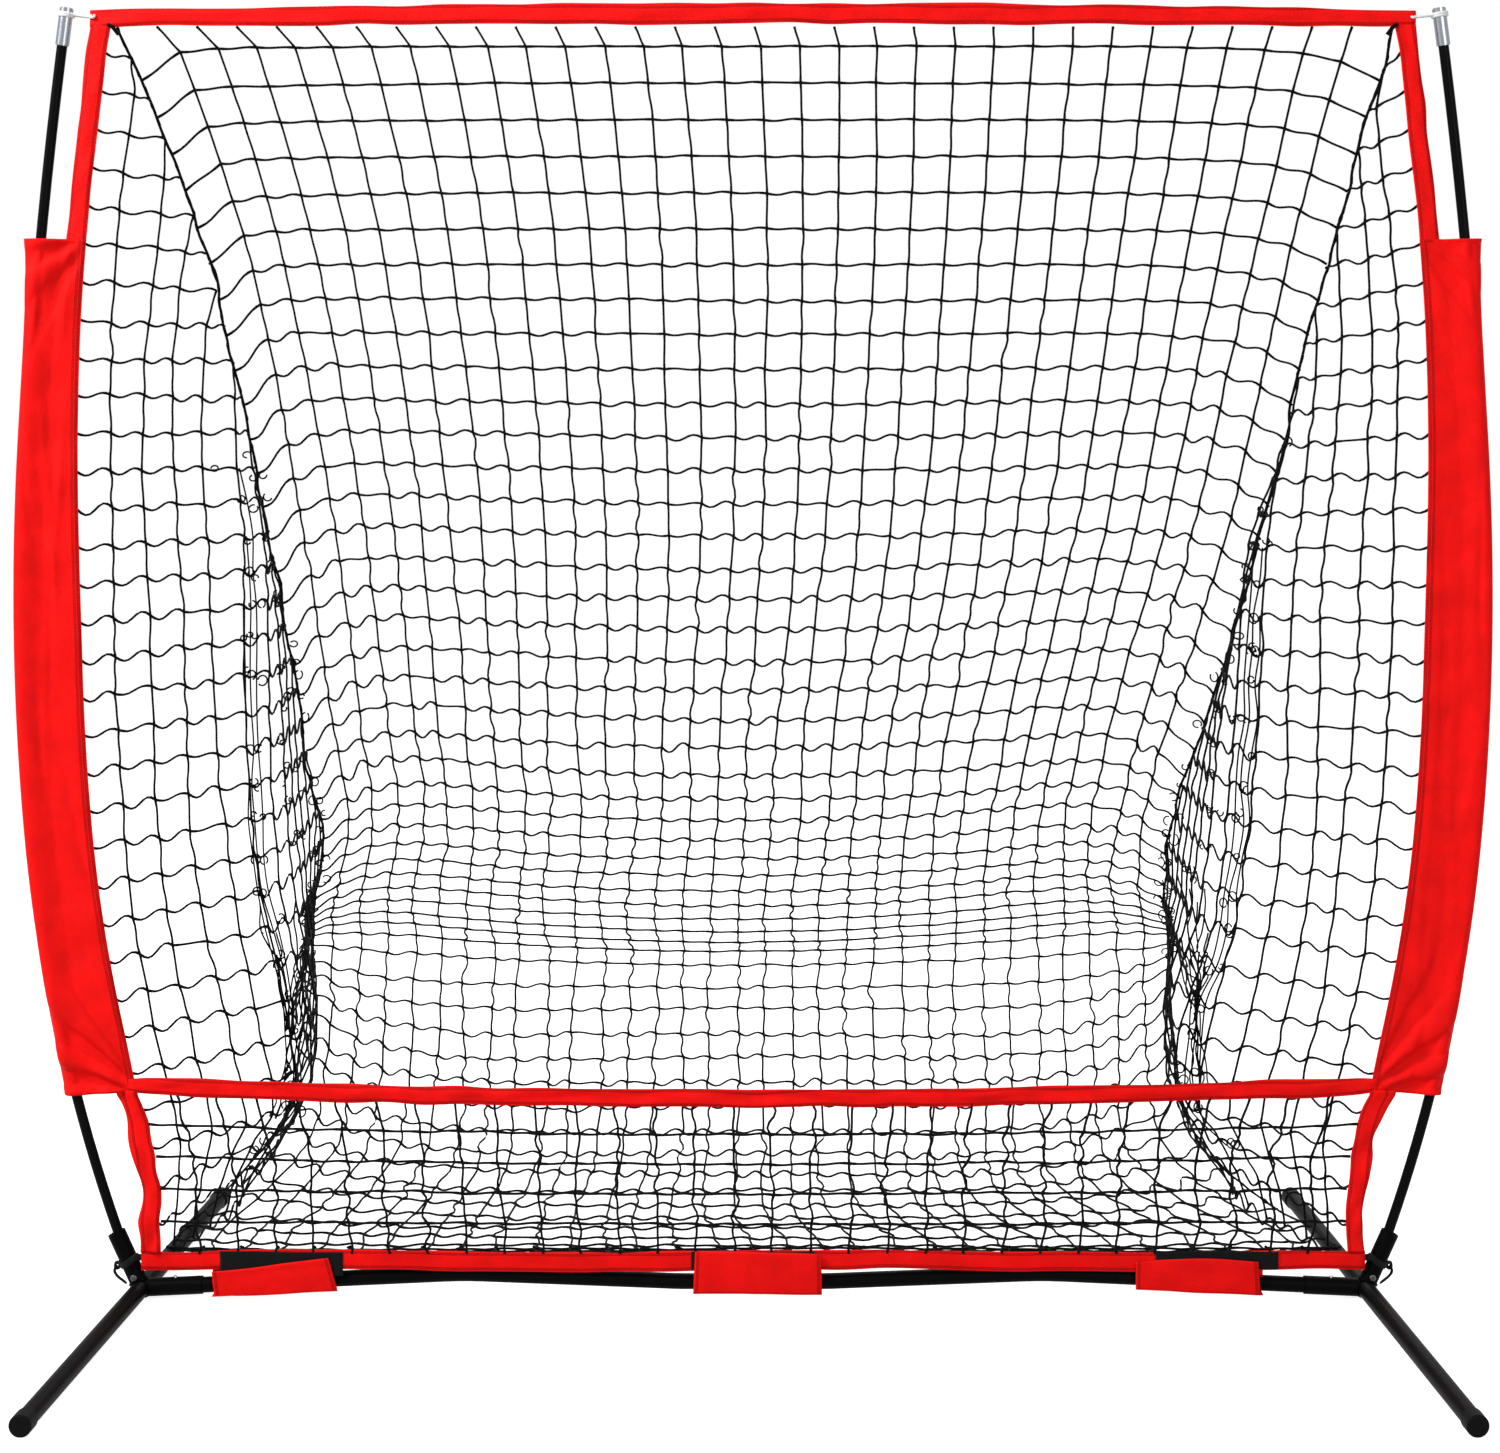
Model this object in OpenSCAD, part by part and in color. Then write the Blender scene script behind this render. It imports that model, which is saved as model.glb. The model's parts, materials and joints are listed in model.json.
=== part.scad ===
// Pop-up ball net on a knock-down steel base: two bowed glass-fibre poles hold a fabric-edged
// frame, and a mesh bag hangs behind it and comes forward to the bottom edge.
// Millimetres. X runs across the net, Y points back into the bag, Z is up, and the
// origin is on the ground at the middle of the whole footprint.

/* [Base] */
// Distance from the middle of the net to the hub of each leg
hub_half = 750; // [700:1:820]
// Outer diameter of the leg, stub and socket tubes
leg_d = 22; // [20:0.5:28]
// Wall of the leg, stub and socket tubes
leg_wall = 1.4; // [1:0.1:2.5]
// Length of the leg in front of the hub
leg_front = 452; // [350:1:520]
// Length of the leg behind the hub
leg_rear = 384; // [300:1:460]
// Angle by which the legs spread towards the front
leg_toe = 2.8; // [0:0.1:6]
// Rubber thickness of the foot caps
foot_wall = 1.5; // [1:0.1:3]
// Length of a foot cap over the leg
foot_len = 20; // [14:1:40]
// Depth of the flat worn under each foot cap
foot_flat = 0.5; // [0.3:0.1:1]
// Length of the crossbar stub from the axis of the leg
stub_len = 75; // [65:1:95]

/* [Crossbar] */
// Outer diameter of the crossbar
bar_d = 19; // [16:0.5:19.5]
// Wall of the crossbar
bar_wall = 1.2; // [0.9:0.1:1.6]
// Distance between the end of the crossbar and the axis of the leg
bar_start = 22; // [17:1:26]
// Upward slope of the stub and the outer part of the crossbar
bar_rise = 2.6; // [0:0.1:5]
// Downward slope of the crossbar from its crown to the middle
bar_fall = 2.2; // [0:0.1:5]
// Distance from the middle of the net to the crown of the crossbar
bar_crown = 355; // [300:1:420]
// Bend radius of the crossbar at its crown
bar_bend_r = 500; // [250:10:800]
// Half length of the level part in the middle
bar_level = 90; // [75:1:130]
// Length of the narrowed end that joins the two halves
splice_len = 45; // [30:1:70]
// Diameter of the snap buttons
button_d = 5; // [4:0.5:6]
// Distance from the axis of the leg to a snap button
button_at = 42; // [40:1:55]
// Height of a snap button over the stub
button_proud = 2.5; // [1.5:0.1:4]
// Thickness of the button's leaf spring
leaf_t = 0.8; // [0.5:0.1:1.2]

/* [Poles] */
// Length of the pole socket from the axis of the leg
socket_len = 75; // [70:1:100]
// Outward lean of the pole socket
socket_lean = 24; // [20:0.5:28]
// Outer diameter of the poles
pole_d = 12.5; // [10:0.5:13]
// Wall of the poles
pole_wall = 2.2; // [1.5:0.1:3]
// Outward lean of a pole where it leaves its socket
pole_lean = 18.8; // [17:0.1:22]
// Length of each of the three pole sections
section_len = 500; // [450:1:540]
// Bend of the lower, middle and upper sections
bend_lower = 14.2; // [12:0.1:16]
// Bend of the middle section
bend_middle = 8.8; // [7:0.1:11]
// Bend of the upper section
bend_upper = 3.8; // [2:0.1:6]
// Outer diameter of the ferrules that join the sections
ferrule_d = 15.5; // [14:0.1:17]
// Length of a ferrule
ferrule_len = 60; // [40:1:90]
// Outer diameter of the metal pole caps
cap_d = 16.5; // [15:0.1:20]
// Length of the metal pole caps
cap_len = 46; // [40:1:60]
// Reach of a cap over the end of its pole
cap_over = 6; // [4:1:12]
// Distance from the top of a cap to its groove
cap_groove = 9; // [6:1:14]
// Drop from the groove to the inner edge of the top border
corner_drop = 14; // [10:1:20]
// Diameter of the screw that a pole stands on
screw_d = 4; // [3:0.5:5]
// Distance from the axis of the leg to that screw
screw_at = 17; // [16.5:0.5:20]

/* [Fabric] */
// Thickness of the folded border fabric
fabric_t = 2.4; // [1.6:0.1:4]
// Thickness of a single layer of fabric
cloth_t = 1.2; // [0.8:0.1:1.6]
// Width of the side borders
strip_w = 24; // [18:1:34]
// Height of the top border at its corners
top_w = 20; // [16:1:30]
// Extra height of the top border in its middle
top_crown = 9; // [0:1:16]
// Height of the bottom border
bottom_w = 25; // [18:1:32]
// Height of the band across the front
band_w = 24; // [18:1:34]
// Sag of the band in its middle
band_sag = 16; // [4:1:30]
// Distance along the pole from its socket to the lower end of the pole pocket
pocket_from = 178; // [140:1:240]
// Distance along the pole from its socket to the upper end of the pole pocket
pocket_to = 1226; // [1120:1:1300]
// Distance from the pole to the inner edge of the pocket, low down
pocket_low = 74; // [60:1:90]
// Distance from the pole to the inner edge of the border, high up
pocket_high = 55; // [45:1:64]
// Distance from the hub to the lower corners of the net, sideways
corner_in = 26; // [20:1:40]

/* [Tabs] */
// Middle of the left tab, the centre tab and the right tab
tab_x = [-586, 7, 548];
// Middle of the loop strip behind each tab
loop_x = [-576, 0, 571];
// Width of the tabs and of the loop strips
tab_w = 152; // [110:1:180]
// Height of a closed tab above its fold
tab_h = 44; // [34:1:50]
// Height of the loop strips
loop_h = 30; // [20:1:34]
// Thickness of the loop strips
loop_t = 1; // [0.6:0.1:2]

/* [Net] */
// Depth of the bag behind the poles
bag_depth = 711; // [560:1:820]
// Height of the fold at the back of the bag above the hubs
fold_h = 294; // [220:1:360]
// Half width of the bag at its fold
fold_half = 652; // [560:1:680]
// Height of the lowest part of the bag above the ground
bag_clear = 32; // [25:1:60]
// Thickness of the mesh twine
twine_d = 2.6; // [2:0.1:4]
// Thickness of the rope in the seams
rope_d = 6; // [5:0.5:8]
// Columns of mesh across the back
back_cols = 12; // [8:1:14]
// Rows of mesh from the top border to the fold
upper_rows = 10; // [7:1:11]
// Rows of mesh from the fold to the bottom border
lower_rows = 5; // [4:1:6]
// Columns of mesh in each side
side_cols = 5; // [3:1:6]

/* [Hidden] */
$fn = 48;

RED = [0.86, 0.06, 0.05];
BLACK = [0.09, 0.09, 0.1];
STEEL = [0.72, 0.73, 0.75];
WHITE = [0.93, 0.93, 0.92];
RUBBER = [0.13, 0.13, 0.13];

fit = 0.1;       // radial clearance of a tube that slides in another
seat = 0.3;      // gap between pieces of fabric and what they lie on
hair = 0.15;     // gap between one row of mesh and the next
swell = 0.05;    // extra wall of a bent length of tube, in and out
lap = 1.5;       // overlap of a bent length with its neighbours
round_sides = 8; // sides of a rope
arc_steps = 720; // steps in a full turn of a long bend

leg_r = leg_d / 2;
foot_r = leg_r + foot_wall;
hub_z = foot_r - foot_flat;
bar_r = bar_d / 2;
bar_bore_r = bar_r - bar_wall;
stub_bore_r = bar_r + fit;
leg_bore_r = leg_r - leg_wall;
pole_r = pole_d / 2;
half_t = fabric_t / 2;
twine_h = twine_d / 2;
rope_r = rope_d / 2;

// The path of a pole, in its own plane: [sideways, up], with lengths along it from its socket
pole_cross = 24; // depth in the socket at which the pole's axis meets the socket's
mouth = [hub_half + socket_len * sin(socket_lean), hub_z + socket_len * cos(socket_lean)];
pole_foot = [mouth.x - pole_cross * (sin(socket_lean) - sin(pole_lean)),
    mouth.y - pole_cross * (cos(socket_lean) - cos(pole_lean))];
pole_heading = 90 - pole_lean;
pole_insert = socket_len - screw_at - screw_d / 2 - 0.6;
lower_run = [section_len, bend_lower];
middle_run = [section_len, bend_middle];
upper_run = [section_len, bend_upper];
pole_runs = [lower_run, middle_run, upper_run];
pole_end = 3 * section_len;
cap_top = pole_end + cap_over;
groove_at = cap_top - cap_groove;

function after(p, h, run) = abs(run[1]) < 1e-9
    ? p + run[0] * [cos(h), sin(h)]
    : p + run[0] * sin(run[1] / 2) / (run[1] / 2 * PI / 180) * [cos(h + run[1] / 2), sin(h + run[1] / 2)];
middle_from = after(pole_foot, pole_heading, lower_run);
upper_from = after(middle_from, pole_heading + bend_lower, middle_run);
pole_starts = [pole_foot, middle_from, upper_from];
pole_headings = [pole_heading, pole_heading + bend_lower, pole_heading + bend_lower + bend_middle];
function section_of(s) = s < section_len ? 0 : s < 2 * section_len ? 1 : 2;
function pole_turn(s) = pole_runs[section_of(s)][1] * (s / section_len - section_of(s));
function pole_at(s) = let (i = section_of(s))
    after(pole_starts[i], pole_headings[i], [s - i * section_len, pole_turn(s)]);
function pole_way(s) = pole_headings[section_of(s)] + pole_turn(s);
pole_table = [for (s = [1:20:pole_end]) let (p = pole_at(s)) [p.y, p.x]];
function pole_x(z) = lookup(z, pole_table);

// The fabric edge of the net, as its distance from the middle at a height
groove = pole_at(groove_at);
top_z = groove.y - corner_drop;
band_z = pole_at(pocket_from).y;
bar_crown_z = hub_z + (hub_half - bar_crown) * tan(bar_rise);
bar_middle_z = bar_crown_z - (bar_crown - bar_level) * tan(bar_fall);
bottom_z = bar_crown_z + bar_r - 3;
bottom_top = bottom_z + bottom_w;
bottom_y = -(bar_r + 1 + half_t);
low_half = hub_half - corner_in;
pocket_top_z = pole_at(pocket_to).y;
function ease(f) = let (c = min(1, max(0, f))) c * c * (3 - 2 * c);
function inset(z) = pocket_low + (pocket_high - pocket_low)
    * ease((z - (band_z + pocket_top_z) / 2) / ((pocket_top_z - band_z) / 2));
function upper_edge(z) = pole_x(z) - inset(z);
edge_at_band = upper_edge(band_z);
function down_share(z) = (z - bottom_top) / (band_z - bottom_top);
function lower_edge(z) = low_half + (edge_at_band - low_half) * pow(max(0, down_share(z)), 3);
function edge_x(z) = z > band_z ? upper_edge(z) : lower_edge(z);
function front_y(z) = bottom_y * min(1, max(0, 1 - down_share(z)));
lower_lean = atan2(-bottom_y, band_z - bottom_top);

// The seam where the back of the bag meets its side: two curves, top to fold and fold to bottom
function curve(p, t) = pow(1 - t, 3) * p[0] + 3 * t * pow(1 - t, 2) * p[1]
    + 3 * t * t * (1 - t) * p[2] + pow(t, 3) * p[3];
fold_z = hub_z + fold_h;
seam_top = [upper_edge(top_z) - 12, 4, top_z - rope_r - seat];
seam_fold = [fold_half, bag_depth, fold_z];
seam_end = [low_half - 8, bottom_y + half_t + rope_r + seat, bottom_top + rope_r + seat];
drop = top_z - fold_z;
fall = fold_z - bag_clear;
seam_down = [seam_top,
    [fold_half + 8, 0.31 * bag_depth, top_z - 0.33 * drop],
    [fold_half - 72, 0.44 * bag_depth, fold_z + 0.215 * drop],
    seam_fold];
seam_back = [seam_fold,
    [fold_half + 18, 0.88 * bag_depth, fold_z - 0.55 * fall],
    [low_half - 30, 0.42 * bag_depth, bag_clear - 0.36 * fall],
    seam_end];

footprint_rear = bag_depth + rope_r;
footprint_front = leg_front + foot_wall * 2;
mid_y = (footprint_rear - footprint_front) / 2;

module placed() {
    translate([0, -mid_y, 0]) children();
}

module side(s) {
    if (s < 0) mirror([1, 0, 0]) children();
    else children();
}

// ---- tubes along straight and bent runs in the upright plane ----

module ring(r, wall) {
    difference() {
        circle(r);
        if (wall > 0) circle(r - wall);
    }
}

module stretch(p, h, run, r, wall) {
    if (run[1] == 0) {
        translate([p.x, 0, p.y]) rotate([0, 90 - h, 0]) linear_extrude(run[0]) ring(r, wall);
    } else {
        radius = run[0] / (abs(run[1]) * PI / 180);
        turn = sign(run[1]);
        centre = p + turn * radius * [-sin(h), cos(h)];
        first = turn > 0 ? h - 90 : h + 90 + run[1];
        translate([centre.x, 0, centre.y]) rotate([90, 0, 0]) rotate([0, 0, first])
            rotate_extrude(angle = abs(run[1]), $fn = arc_steps) translate([radius, 0]) ring(r, wall);
    }
}

// A bent length reaches a little past both of its ends, and swells a little
module lapped(p, h, run, r, wall) {
    more = lap * run[1] / run[0];
    stretch(after(p, h, [-lap, -more]), h - more, [run[0] + 2 * lap, run[1] + 2 * more],
        r + swell, wall > 0 ? wall + 2 * swell : 0);
}

module bent_tube(p, h, runs, r, wall) {
    if (runs[0][1] == 0) stretch(p, h, runs[0], r, wall);
    else lapped(p, h, runs[0], r, wall);
    if (len(runs) > 1)
        bent_tube(after(p, h, runs[0]), h + runs[0][1], [for (i = [1:len(runs) - 1]) runs[i]], r, wall);
}

// ---- base ----

module at_hub(s) {
    side(s) translate([hub_half, 0, hub_z]) children();
}

// The axis of a leg, from the hub towards the front
module along_leg() {
    rotate([0, 0, leg_toe]) rotate([90, 0, 0]) children();
}

module leg(s) {
    color(BLACK) placed() at_hub(s) along_leg()
        translate([0, 0, -leg_rear]) linear_extrude(leg_front + leg_rear) ring(leg_r, leg_wall);
}

module foot_cap(s, end) {
    reach = end < 0 ? leg_front : leg_rear;
    turn = end < 0 ? 0 : 180;
    soft = foot_wall * 1.8;
    color(RUBBER) placed() difference() {
        at_hub(s) along_leg() rotate([turn, 0, 0]) translate([0, 0, reach - foot_len])
            rotate_extrude() difference() {
                union() {
                    square([foot_r, foot_len + 2 * foot_wall - soft]);
                    square([foot_r - soft, foot_len + 2 * foot_wall]);
                    translate([foot_r - soft, foot_len + 2 * foot_wall - soft]) intersection() {
                        circle(soft);
                        square(soft);
                    }
                }
                square([leg_r, foot_len]);
            }
        translate([-2 * hub_half, -2 * hub_half, -leg_d]) cube([4 * hub_half, 4 * hub_half, leg_d]);
    }
}

// The axis of a stub and the outer part of the crossbar, from the hub inwards, Z upwards
module along_bar() {
    mirror([1, 0, 0]) rotate([0, -bar_rise, 0]) children();
}

module button_hole() {
    translate([button_at, 0, 0]) cylinder(h = leg_d, d = button_d + 2 * fit);
}

module crossbar_stub(s) {
    color(BLACK) placed() at_hub(s) difference() {
        along_bar() difference() {
            rotate([0, 90, 0]) linear_extrude(stub_len) ring(leg_r, leg_r - stub_bore_r);
            button_hole();
        }
        along_leg() cylinder(h = 4 * leg_d, r = leg_r + seat, center = true);
        along_socket() cylinder(h = 2 * leg_d, r = leg_r + seat);
    }
}

module along_socket() {
    rotate([0, socket_lean, 0]) children();
}

module pole_socket(s) {
    color(BLACK) placed() at_hub(s) difference() {
        along_socket() difference() {
            linear_extrude(socket_len) ring(leg_r, leg_wall);
            translate([0, 0, screw_at]) rotate([90, 0, 0])
                cylinder(h = 2 * leg_d, d = screw_d + 2 * fit, center = true);
        }
        along_leg() cylinder(h = 4 * leg_d, r = leg_r + seat, center = true);
    }
}

screw_head_h = 2.8;
nut_h = 3.2;

module stop_screw(s) {
    color(STEEL) placed() at_hub(s) along_socket() translate([0, 0, screw_at]) rotate([90, 0, 0]) {
        translate([0, 0, -leg_r - nut_h - 1]) cylinder(h = 2 * leg_r + nut_h + 1, d = screw_d);
        translate([0, 0, leg_r]) difference() {
            rotate_extrude() union() {
                square([screw_d, screw_head_h - 1]);
                square([screw_d - 1, screw_head_h]);
                translate([screw_d - 1, screw_head_h - 1]) intersection() {
                    circle(1);
                    square(1);
                }
            }
            for (a = [0, 90]) rotate([0, 0, a])
                translate([-0.4, -screw_d / 2, screw_head_h - 1]) cube([0.8, screw_d, 2]);
        }
    }
}

module stop_nuts() {
    color(STEEL) placed() for (s = [-1, 1]) at_hub(s) along_socket()
        translate([0, 0, screw_at]) rotate([-90, 0, 0]) translate([0, 0, leg_r]) difference() {
            cylinder(h = nut_h, d = screw_d * 2, $fn = 6);
            translate([0, 0, -1]) cylinder(h = nut_h + 2, d = screw_d + fit);
        }
}

// ---- crossbar ----

bar_from = after([0, 0], bar_rise, [bar_start, 0]);
crown_run = [bar_bend_r * (bar_rise + bar_fall) * PI / 180, -(bar_rise + bar_fall)];
level_run = [bar_bend_r * bar_fall * PI / 180, bar_fall];
outer_run = [(hub_half - bar_crown) / cos(bar_rise) - bar_start - crown_run[0] / 2, 0];
inner_run = [(bar_crown - bar_level) / cos(bar_fall) - crown_run[0] / 2 - level_run[0] / 2, 0];
bar_runs = [outer_run, crown_run, inner_run, level_run];
function path_end(p, h, runs, i = 0) = i == len(runs) ? [p, h]
    : path_end(after(p, h, runs[i]), h + runs[i][1], runs, i + 1);
level_end = path_end(bar_from, bar_rise, bar_runs);
bar_axis_z = hub_z + level_end[0].y;
level_left = hub_half - level_end[0].x;
splice_r = bar_bore_r - fit;

swage_len = 8;

// The level end of a half, which is narrowed on one side to enter the other
module bar_end(narrow) {
    bore = narrow ? splice_r - bar_wall : bar_bore_r;
    rotate_extrude() union() {
        translate([bar_bore_r, 0]) square([bar_wall, level_left]);
        if (narrow) {
            translate([bore, level_left - swage_len])
                square([bar_bore_r + bar_wall / 2 - bore, swage_len]);
            translate([bore, level_left - swage_len]) square([bar_wall, swage_len + splice_len]);
        }
    }
}

module crossbar(s) {
    color(BLACK) placed() at_hub(s) difference() {
        mirror([1, 0, 0]) union() {
            bent_tube(bar_from, bar_rise, bar_runs, bar_r, bar_wall);
            translate([level_end[0].x, 0, level_end[0].y]) rotate([0, 90, 0]) bar_end(s < 0);
        }
        along_bar() button_hole();
    }
}

// ---- snap buttons ----

flange_r = button_d / 2 + 1.1;
flange_z = sqrt(bar_bore_r * bar_bore_r - flange_r * flange_r) - 0.05;
button_top = leg_r + button_proud;
leaf_w = 6;
leaf_foot = -sqrt(bar_bore_r * bar_bore_r - leaf_w * leaf_w / 4) + 0.05;
leaf_top = flange_z - 1.05;
leaf_arm = 16;

module snap_button(s) {
    dome = button_d / 2 - 0.6;
    color(STEEL) placed() at_hub(s) along_bar() translate([button_at, 0, 0]) rotate_extrude() union() {
        translate([0, flange_z - 1]) square([flange_r, 1]);
        translate([0, flange_z - 1]) square([button_d / 2, button_top - dome - flange_z + 1]);
        translate([0, flange_z - 1]) square([button_d / 2 - dome, button_top - flange_z + 1]);
        translate([button_d / 2 - dome, button_top - dome]) intersection() {
            circle(dome);
            square(dome);
        }
    }
}

// A strip of spring steel folded back on itself, with the button standing on its upper arm
module leaf_outline() {
    bend_r = (leaf_top - leaf_foot) / 2;
    mid = [leaf_arm, leaf_foot + bend_r];
    turns = [-90:10:90];
    polygon(concat(
        [[-flange_r - 6, leaf_foot]],
        [for (a = turns) mid + bend_r * [cos(a), sin(a)]],
        [[-flange_r, leaf_top], [-flange_r, leaf_top - leaf_t]],
        [for (a = turns) mid + (bend_r - leaf_t) * [cos(a), -sin(a)]],
        [[-flange_r - 6, leaf_foot + leaf_t]]));
}

module button_spring(s) {
    color(STEEL) placed() at_hub(s) along_bar() translate([button_at, 0, 0])
        rotate([90, 0, 0]) linear_extrude(leaf_w, center = true) leaf_outline();
}

// ---- poles ----

module pole_lower(s) {
    color(BLACK) placed() side(s) {
        stretch(pole_foot - pole_insert * [cos(pole_heading), sin(pole_heading)], pole_heading,
            [pole_insert + lap, 0], pole_r + swell, pole_wall + 2 * swell);
        stretch(pole_foot, pole_heading, lower_run, pole_r, pole_wall);
    }
}

module pole_middle(s) {
    color(BLACK) placed() side(s)
        stretch(middle_from, pole_headings[1], middle_run, pole_r, pole_wall);
}

module pole_upper(s) {
    color(BLACK) placed() side(s)
        stretch(upper_from, pole_headings[2], upper_run, pole_r, pole_wall);
}

// A tube round the pole between two distances along it, with its middle length lapped
module pole_sleeve(from, to, r, wall) {
    for (i = [0:2]) {
        a = max(from, i * section_len);
        b = min(to, (i + 1) * section_len);
        run = [b - a, pole_runs[i][1] * (b - a) / section_len];
        start = after(pole_starts[i], pole_headings[i],
            [a - i * section_len, pole_runs[i][1] * (a / section_len - i)]);
        heading = pole_headings[i] + pole_runs[i][1] * (a / section_len - i);
        if (i == 1) lapped(start, heading, run, r, wall);
        else stretch(start, heading, run, r, wall);
    }
}

// Each ferrule bends by the mean of the two sections that meet in it
module pole_ferrules(s) {
    half = ferrule_len / 2;
    color(STEEL) placed() side(s) for (i = [1, 2]) {
        turn = half * (pole_runs[i - 1][1] + pole_runs[i][1]) / 2 / section_len;
        stretch(after(pole_starts[i], pole_headings[i], [-half, -turn]), pole_headings[i] - turn,
            [2 * half, 2 * turn], ferrule_d / 2, ferrule_d / 2 - pole_r - fit);
    }
}

module at_cap(s) {
    p = pole_at(cap_top - cap_len);
    side(s) translate([p.x, 0, p.y]) rotate([0, 90 - pole_way(pole_end - cap_len / 2), 0]) children();
}

elastic_r = 1.9;

module pole_cap(s) {
    groove_up = cap_len - (cap_top - groove_at);
    color(STEEL) placed() at_cap(s) rotate_extrude() difference() {
        union() {
            square([cap_d / 2 - 1, cap_len]);
            translate([0, 1]) square([cap_d / 2, cap_len - 2]);
        }
        square([pole_r + fit, pole_end - cap_top + cap_len + 0.2]);
        translate([cap_d / 2 + 0.3, groove_up]) circle(elastic_r);
        translate([cap_d / 2 - 0.2, 0]) square([1, 1]);
    }
}

module elastic_loop(s) {
    end = [upper_edge(top_z) + strip_w + 2.5, top_z + top_w / 2];
    color(WHITE) placed() {
        at_cap(s) translate([0, 0, cap_len - (cap_top - groove_at)])
            rotate_extrude() translate([cap_d / 2 + 0.35, 0]) circle(elastic_r - 0.1);
        side(s) for (y = [-1, 1]) translate([end.x, y * elastic_r, end.y])
            rotate([0, atan2(groove.x - cap_d / 2 - end.x, groove.y - end.y), 0])
                cylinder(h = norm(groove - [cap_d / 2, 0] - end), r = elastic_r - 0.3);
        side(s) translate([end.x, 0, end.y]) rotate([90, 0, 0])
            cylinder(h = 4 * elastic_r - 1, r = elastic_r + 0.2, center = true);
    }
}

// ---- fabric frame ----

// A flat strip that stands upright: its outline is drawn as [sideways, up]
module upright(t) {
    rotate([90, 0, 0]) linear_extrude(t, center = true) children();
}

steps = 16;
function heights(a, b) = [for (i = [0:steps]) a + (b - a) * i / steps];
function turned(list) = [for (i = [len(list) - 1:-1:0]) list[i]];
function across(half) = [for (i = [-steps:steps]) half * i / steps];

module top_border() {
    half = upper_edge(top_z) + strip_w;
    color(RED) placed() upright(fabric_t) polygon(concat(
        [[half, top_z], [-half, top_z]],
        [for (x = across(half)) [x, top_z + top_w + top_crown * (1 - pow(x / half, 2))]]));
}

module side_border(s) {
    levels = heights(pocket_top_z + seat, top_z - seat);
    color(RED) placed() side(s) upright(fabric_t) polygon(concat(
        [for (z = levels) [upper_edge(z), z]],
        [for (z = turned(levels)) [upper_edge(z) + strip_w, z]]));
}

// The pocket is a flat double strip that opens into a round tube where the pole runs
module pole_pocket(s) {
    tube_r = ferrule_d / 2 + seat;
    levels = heights(band_z, pocket_top_z);
    color(RED) placed() side(s) {
        difference() {
            upright(fabric_t) polygon(concat(
                [for (z = levels) [upper_edge(z), z]],
                [for (z = turned(levels)) [pole_x(z) - tube_r / 2, z]]));
            pole_sleeve(pocket_from - 2 * tube_r, pocket_to + 2 * tube_r, tube_r + cloth_t / 2, 0);
        }
        pole_sleeve(pocket_from, pocket_to, tube_r + cloth_t, cloth_t);
    }
}

module front_band() {
    half = upper_edge(band_z) - seat;
    xs = across(half);
    color(RED) placed() upright(fabric_t) polygon(concat(
        [for (x = xs) [x, band_z - band_sag * (1 - pow(x / half, 2))]],
        [for (x = turned(xs)) [x, band_z + band_w - band_sag * (1 - pow(x / half, 2))]]));
}

// Strips below the band lie in a plane that leans forward, to pass in front of the crossbar
module leaning() {
    translate([0, bottom_y, bottom_top]) rotate([-lower_lean, 0, 0]) children();
}

lean_h = (band_z - bottom_top) / cos(lower_lean);

module lower_border(s) {
    levels = heights(0, lean_h - 2 * seat);
    function at(v) = bottom_top + v * cos(lower_lean);
    color(RED) placed() side(s) leaning() upright(fabric_t) polygon(concat(
        [for (v = levels) [lower_edge(at(v)), v + seat]],
        [for (v = turned(levels)) [lower_edge(at(v)) + strip_w, v + seat]]));
}

module bottom_border() {
    color(RED) placed() translate([-low_half - strip_w, bottom_y - half_t, bottom_z])
        cube([2 * (low_half + strip_w), fabric_t, bottom_w]);
}

module loop_strips() {
    color(BLACK) placed() for (x = loop_x)
        translate([x - tab_w / 2, bottom_y - half_t - loop_t, bottom_top - loop_h - 3])
            cube([tab_w, loop_t, loop_h]);
}

// ---- tabs that close round the crossbar ----

function bar_z(x) = let (d = hub_half - abs(x))
    abs(x) > bar_crown ? hub_z + d * tan(bar_rise)
        : abs(x) > bar_level ? bar_crown_z - (bar_crown - abs(x)) * tan(bar_fall)
        : bar_axis_z;
function bar_slope(x) = sign(x) * (abs(x) > bar_crown ? bar_rise : abs(x) > bar_level ? -bar_fall : 0);
flap_y = bottom_y - half_t - loop_t - 0.2 - cloth_t / 2;
wrap_r = bar_r + 0.5;
fold_y = flap_y;
fold_drop = -(wrap_r + cloth_t / 2);

module on_bar(x) {
    placed() translate([x, 0, bar_z(x)]) rotate([0, bar_slope(x), 0]) children();
}

module tab(x) {
    color(RED) on_bar(x) rotate([90, 0, 90]) linear_extrude(tab_w, center = true)
        translate([fold_y, fold_drop]) {
            translate([-cloth_t / 2, 0]) square([cloth_t, tab_h]);
            circle(cloth_t / 2);
        }
}

module tab_wraps() {
    back_y = bottom_y + half_t + 0.2;
    rise = bottom_top - 8;
    color(RED) for (x = tab_x) on_bar(x) rotate([90, 0, 90]) linear_extrude(tab_w, center = true) {
        intersection() {
            ring(wrap_r + cloth_t, cloth_t);
            translate([0, -2 * wrap_r]) square(4 * wrap_r);
        }
        translate([fold_y + cloth_t / 2 + seat, -wrap_r - cloth_t])
            square([-fold_y - cloth_t / 2 - seat, cloth_t]);
        translate([back_y, wrap_r]) square([-back_y, cloth_t]);
        translate([back_y, wrap_r]) square([cloth_t, rise - bar_z(x) - wrap_r]);
    }
}

// ---- straps from the lower corners of the net to the pole sockets ----

strap_at = 37;
strap_w = 8;
strap_t = 1.4;
tail_d = 3.4;
tail_len = 24;

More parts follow.
